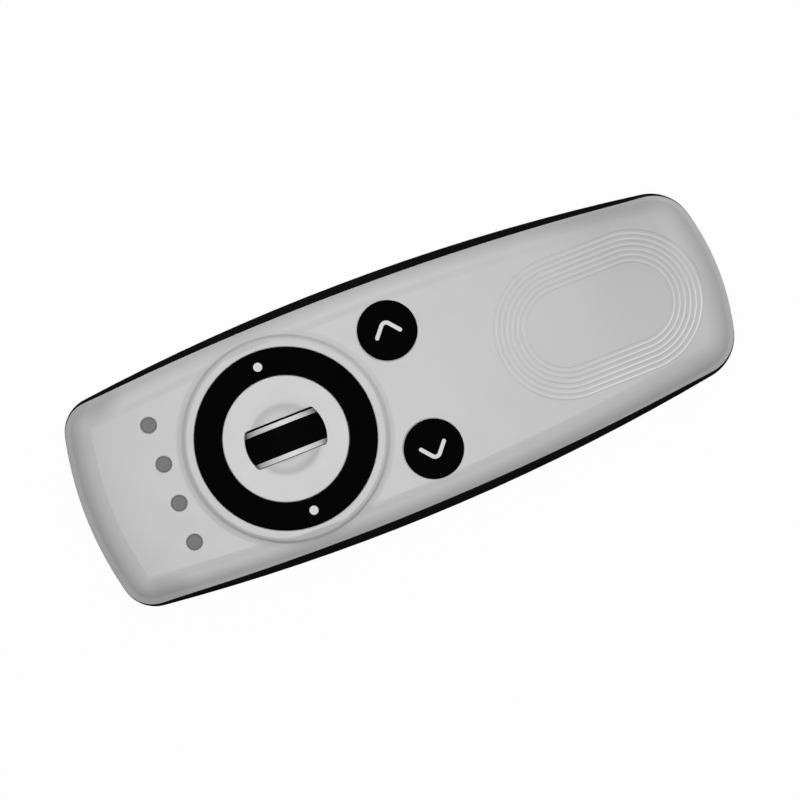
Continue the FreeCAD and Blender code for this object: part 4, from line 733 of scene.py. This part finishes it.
def lathe(section, steps):
    """A closed section of (radius, height) points in millimetres, spun round Z."""
    shape = bmesh.new()
    loop = [shape.verts.new((radius * MM, 0, height * MM)) for radius, height in section]
    sides = [shape.edges.new(ends) for ends in zip(loop, loop[1:] + loop[:1])]
    bmesh.ops.spin(shape, geom=loop + sides, cent=(0, 0, 0), axis=(0, 0, 1), angle=math.tau, steps=steps,
                   use_merge=True)
    bmesh.ops.remove_doubles(shape, verts=shape.verts, dist=SAME_PLACE)
    bmesh.ops.recalc_face_normals(shape, faces=shape.faces)
    return shape


def piece(name, shape, finish, body):
    """Makes the shape an object, smooth but for its sharp edges, and has it ride on a body."""
    data = bpy.data.meshes.new(name)
    shape.to_mesh(data)
    shape.free()
    data.materials.append(finish.material)
    for face in data.polygons:
        face.use_smooth = True
    data.set_sharp_from_angle(angle=SMOOTH_BELOW)
    made = bpy.data.objects.new(name, data)
    scene.collection.objects.link(made)
    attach(made, body)
    print(name, len(data.polygons), "faces")
    return made


# %% [markdown]
# ## The wheel's tyre
#
# The thumb turns the wheel by its rubber, which has ribs across it for grip, as on a mouse wheel. The tyre
# is spun as a plain band whose outside is as deep as the grooves between the ribs. Every other face of that
# outside is then inset and lifted in one step, which gives a rib with sloping flanks, and a small bevel
# rounds its top. The lathe spins round Z, and the wheel turns round Y, so the band is turned over last.

# %% Make the ribbed tyre
RIBS = 66
RIB_HEIGHT = 0.3
RIB_FLANK = 0.05
RIB_ROUNDING = 0.06
BAND_DEPTH = 1.26
EDGE_DROP = 0.1
EDGE_WIDTH = 0.12
FACE_SLACK = 0.02
tyre_low, tyre_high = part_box("wheel_tyre")
half_tyre = (tyre_high.y - tyre_low.y) / 2 / MM
outside = wheel_radius / MM
floor_radius = outside - RIB_HEIGHT
band = [(outside - BAND_DEPTH, -half_tyre), (floor_radius - EDGE_DROP, -half_tyre),
        (floor_radius, EDGE_WIDTH - half_tyre), (floor_radius, half_tyre - EDGE_WIDTH),
        (floor_radius - EDGE_DROP, half_tyre), (outside - BAND_DEPTH, half_tyre)]
tyre = lathe(band, 2 * RIBS)
inner_limit = (floor_radius - FACE_SLACK) * MM
tread = [face for face in tyre.faces if face.calc_center_median().xy.length > inner_limit]
tread.sort(key=lambda face: math.atan2(face.calc_center_median().y, face.calc_center_median().x))
bmesh.ops.inset_individual(tyre, faces=tread[::2], thickness=RIB_FLANK * MM, depth=RIB_HEIGHT * MM)
crest = {edge for face in tread[::2] for edge in face.edges}
bmesh.ops.bevel(tyre, geom=list(crest), offset=RIB_ROUNDING * MM, affect="EDGES", segments=2, profile=0.5,
                material=-1)
bmesh.ops.rotate(tyre, verts=tyre.verts, cent=(0, 0, 0), matrix=Matrix.Rotation(math.radians(-90), 3, "X"))
bmesh.ops.translate(tyre, verts=tyre.verts, vec=wheel_middle)
ribbed_tyre = piece("ribbed_tyre", tyre, rubber, "wheel")
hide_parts("wheel_tyre")
print("ribs", len(tread) // 2, "tyre radius", round(max(v.co.z for v in ribbed_tyre.data.vertices) / MM, 2))

# %% [markdown]
# ## The coin cell
#
# A coin cell is a steel can whose rim is rolled in over a plastic seal, and the seal holds the smaller cap.
# Three spun sections show that: a can with a rounded foot and a rolled rim, a thin ring in the same dull
# black as the chips, and a cap with a step. The can's face shows when the door slides off, and it carries the
# plus sign that tells which way up the cell goes. The sign is pressed in, so the finish lowers the surface
# along two crossing bars.

# %% Mix the cell's steel
PLUS_REACH = 2.2
PLUS_HALF_WIDTH = 0.35
CAN_FACE = -1.2
cell_steel = Finish("cell_steel", 0.25, Metallic=1.0)
x, y, z = cell_steel.axes(cell_middle)
from_cell = x.reach(y)
turned = cell_steel.noise(0.2, detail=3, at=cell_steel.spot(from_cell, z))
along = (abs(x) < PLUS_REACH) * (abs(y) < PLUS_HALF_WIDTH)
across = (abs(y) < PLUS_REACH) * (abs(x) < PLUS_HALF_WIDTH)
bars = along.larger(across) * (z < CAN_FACE)
shade = cell_steel.blend((0.56, 0.56, 0.55), (0.70, 0.70, 0.69), turned)
cell_steel.color(shade, (0.33, 0.33, 0.325), bars)
cell_steel.set("Roughness", 0.2 + 0.16 * turned + 0.2 * bars)
cell_steel.bump(0.004 * turned - 0.05 * bars)
print("cell steel is mixed")

# %% Make the coin cell
CELL_STEPS = 96
cell_low, cell_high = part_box("coin_cell")
can_radius = (cell_high.x - cell_low.x) / 2 / MM
height = (cell_high.z - cell_low.z) / MM
seat = Vector((cell_middle.x, cell_middle.y, cell_low.z))
sections = {
    "cell_can": [(0, 0), (can_radius - 0.8, 0), (can_radius - 0.35, 0.06), (can_radius - 0.08, 0.3),
                 (can_radius, 0.65), (can_radius, height - 0.95), (can_radius - 0.06, height - 0.66),
                 (can_radius - 0.3, height - 0.52), (can_radius - 0.7, height - 0.5),
                 (can_radius - 1.0, height - 0.6), (can_radius - 1.0, height - 0.8), (0, height - 0.8)],
    "cell_seal": [(can_radius - 1.0, height - 0.75), (can_radius - 1.0, height - 0.55),
                  (can_radius - 1.12, height - 0.5), (can_radius - 1.4, height - 0.5),
                  (can_radius - 1.4, height - 0.75)],
    "cell_cap": [(0, height - 0.75), (can_radius - 1.4, height - 0.75), (can_radius - 1.4, height - 0.4),
                 (can_radius - 1.65, height - 0.28), (can_radius - 2.1, height - 0.24),
                 (can_radius - 2.5, height - 0.06), (can_radius - 3.0, height), (0, height)]}
for name, section in sections.items():
    shape = lathe(section, CELL_STEPS)
    bmesh.ops.translate(shape, verts=shape.verts, vec=seat)
    finish, slot = (epoxy, "inner_plastic") if name == "cell_seal" else (cell_steel, "steel")
    part = piece(name, shape, finish, "case")
    if name == "cell_can":
        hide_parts("coin_cell")
print("cell radius", can_radius, "height", round(height, 2))

# %% [markdown]
# ## Small parts on the board
#
# Between the chip and the battery springs a real board carries rows of chip resistors and capacitors, too
# small and too many for CAD. Each is a block whose level edges are bevelled. Its middle is dark or tan and
# its ends are tinned. A short list gives each row's place along the board, its first block, the number of
# blocks and how far apart they stand, and all blocks share one mesh. They lie along X, so the distance from
# the middle of a row tells the finish where the tin begins.

# %% Set the small parts on the board
ROWS = [(14.0, -17.5, 5, 2.2), (27.2, 4.6, 6, 1.7), (30.0, 4.6, 6, 1.7), (34.5, 12.5, 5, 2.1),
        (46.0, 6.0, 4, 1.9), (27.2, -12.5, 4, 1.8), (54.0, -9.0, 3, 2.0), (54.0, 6.0, 3, 2.0)]
BLOCK = (1.6, 0.8, 0.5)
BLOCK_BEVEL = 0.06
TIN_FROM = 0.5
TIN_TO = 0.9
board_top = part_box("circuit_board")[1].z
small = bmesh.new()
for row, start, count, pitch in ROWS:
    for place in range(count):
        made = bmesh.ops.create_cube(small, size=MM)
        bmesh.ops.scale(small, verts=made["verts"], vec=BLOCK)
        centre = (row * MM, (start + place * pitch) * MM, board_top + BLOCK[2] / 2 * MM)
        bmesh.ops.translate(small, verts=made["verts"], vec=centre)
level = [edge for edge in small.edges if abs((edge.verts[0].co - edge.verts[1].co).z) < 0.1 * MM]
bmesh.ops.bevel(small, geom=level, offset=BLOCK_BEVEL * MM, affect="EDGES", segments=2, profile=0.5,
                material=-1)
print("small parts in", len(ROWS), "rows")

# %% Mix their ceramic and tin, and hand them over
chip_parts = Finish("chip_parts", 0.45)
x, y, z = chip_parts.axes()
tin = 0
for row in sorted({row[0] for row in ROWS}):
    tin = tin + (abs(x - row) > TIN_FROM) * (abs(x - row) < TIN_TO)
middles = chip_parts.blend((0.05, 0.05, 0.055), (0.28, 0.19, 0.11), chip_parts.noise(12) > 0.5)
chip_parts.color(middles, grey(0.6), tin)
chip_parts.set("Metallic", tin)
chip_parts.set("Roughness", 0.35 + 0.2 * chip_parts.noise(0.3))
chip_parts.bump(0.003 * chip_parts.noise(0.1))
piece("board_chip_parts", small, chip_parts, "case")

# %% [markdown]
# ## Checking the size
#
# Finishes and ribs must not change the remote's size. The box of the solids was noted at the start. Now we
# measure the box of everything that shows, keep both, and print how much it has grown.

# %% Compare the boxes and finish
seen_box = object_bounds()
boxes = {"cad": cad_box, "visual": seen_box}
boxes = {name: [[float(v) for v in corner] for corner in box] for name, box in boxes.items()}
for old, new in zip(boxes["cad"], boxes["visual"]):
    print("grown by", [round((b - a) / MM, 3) for a, b in zip(old, new)], "mm")
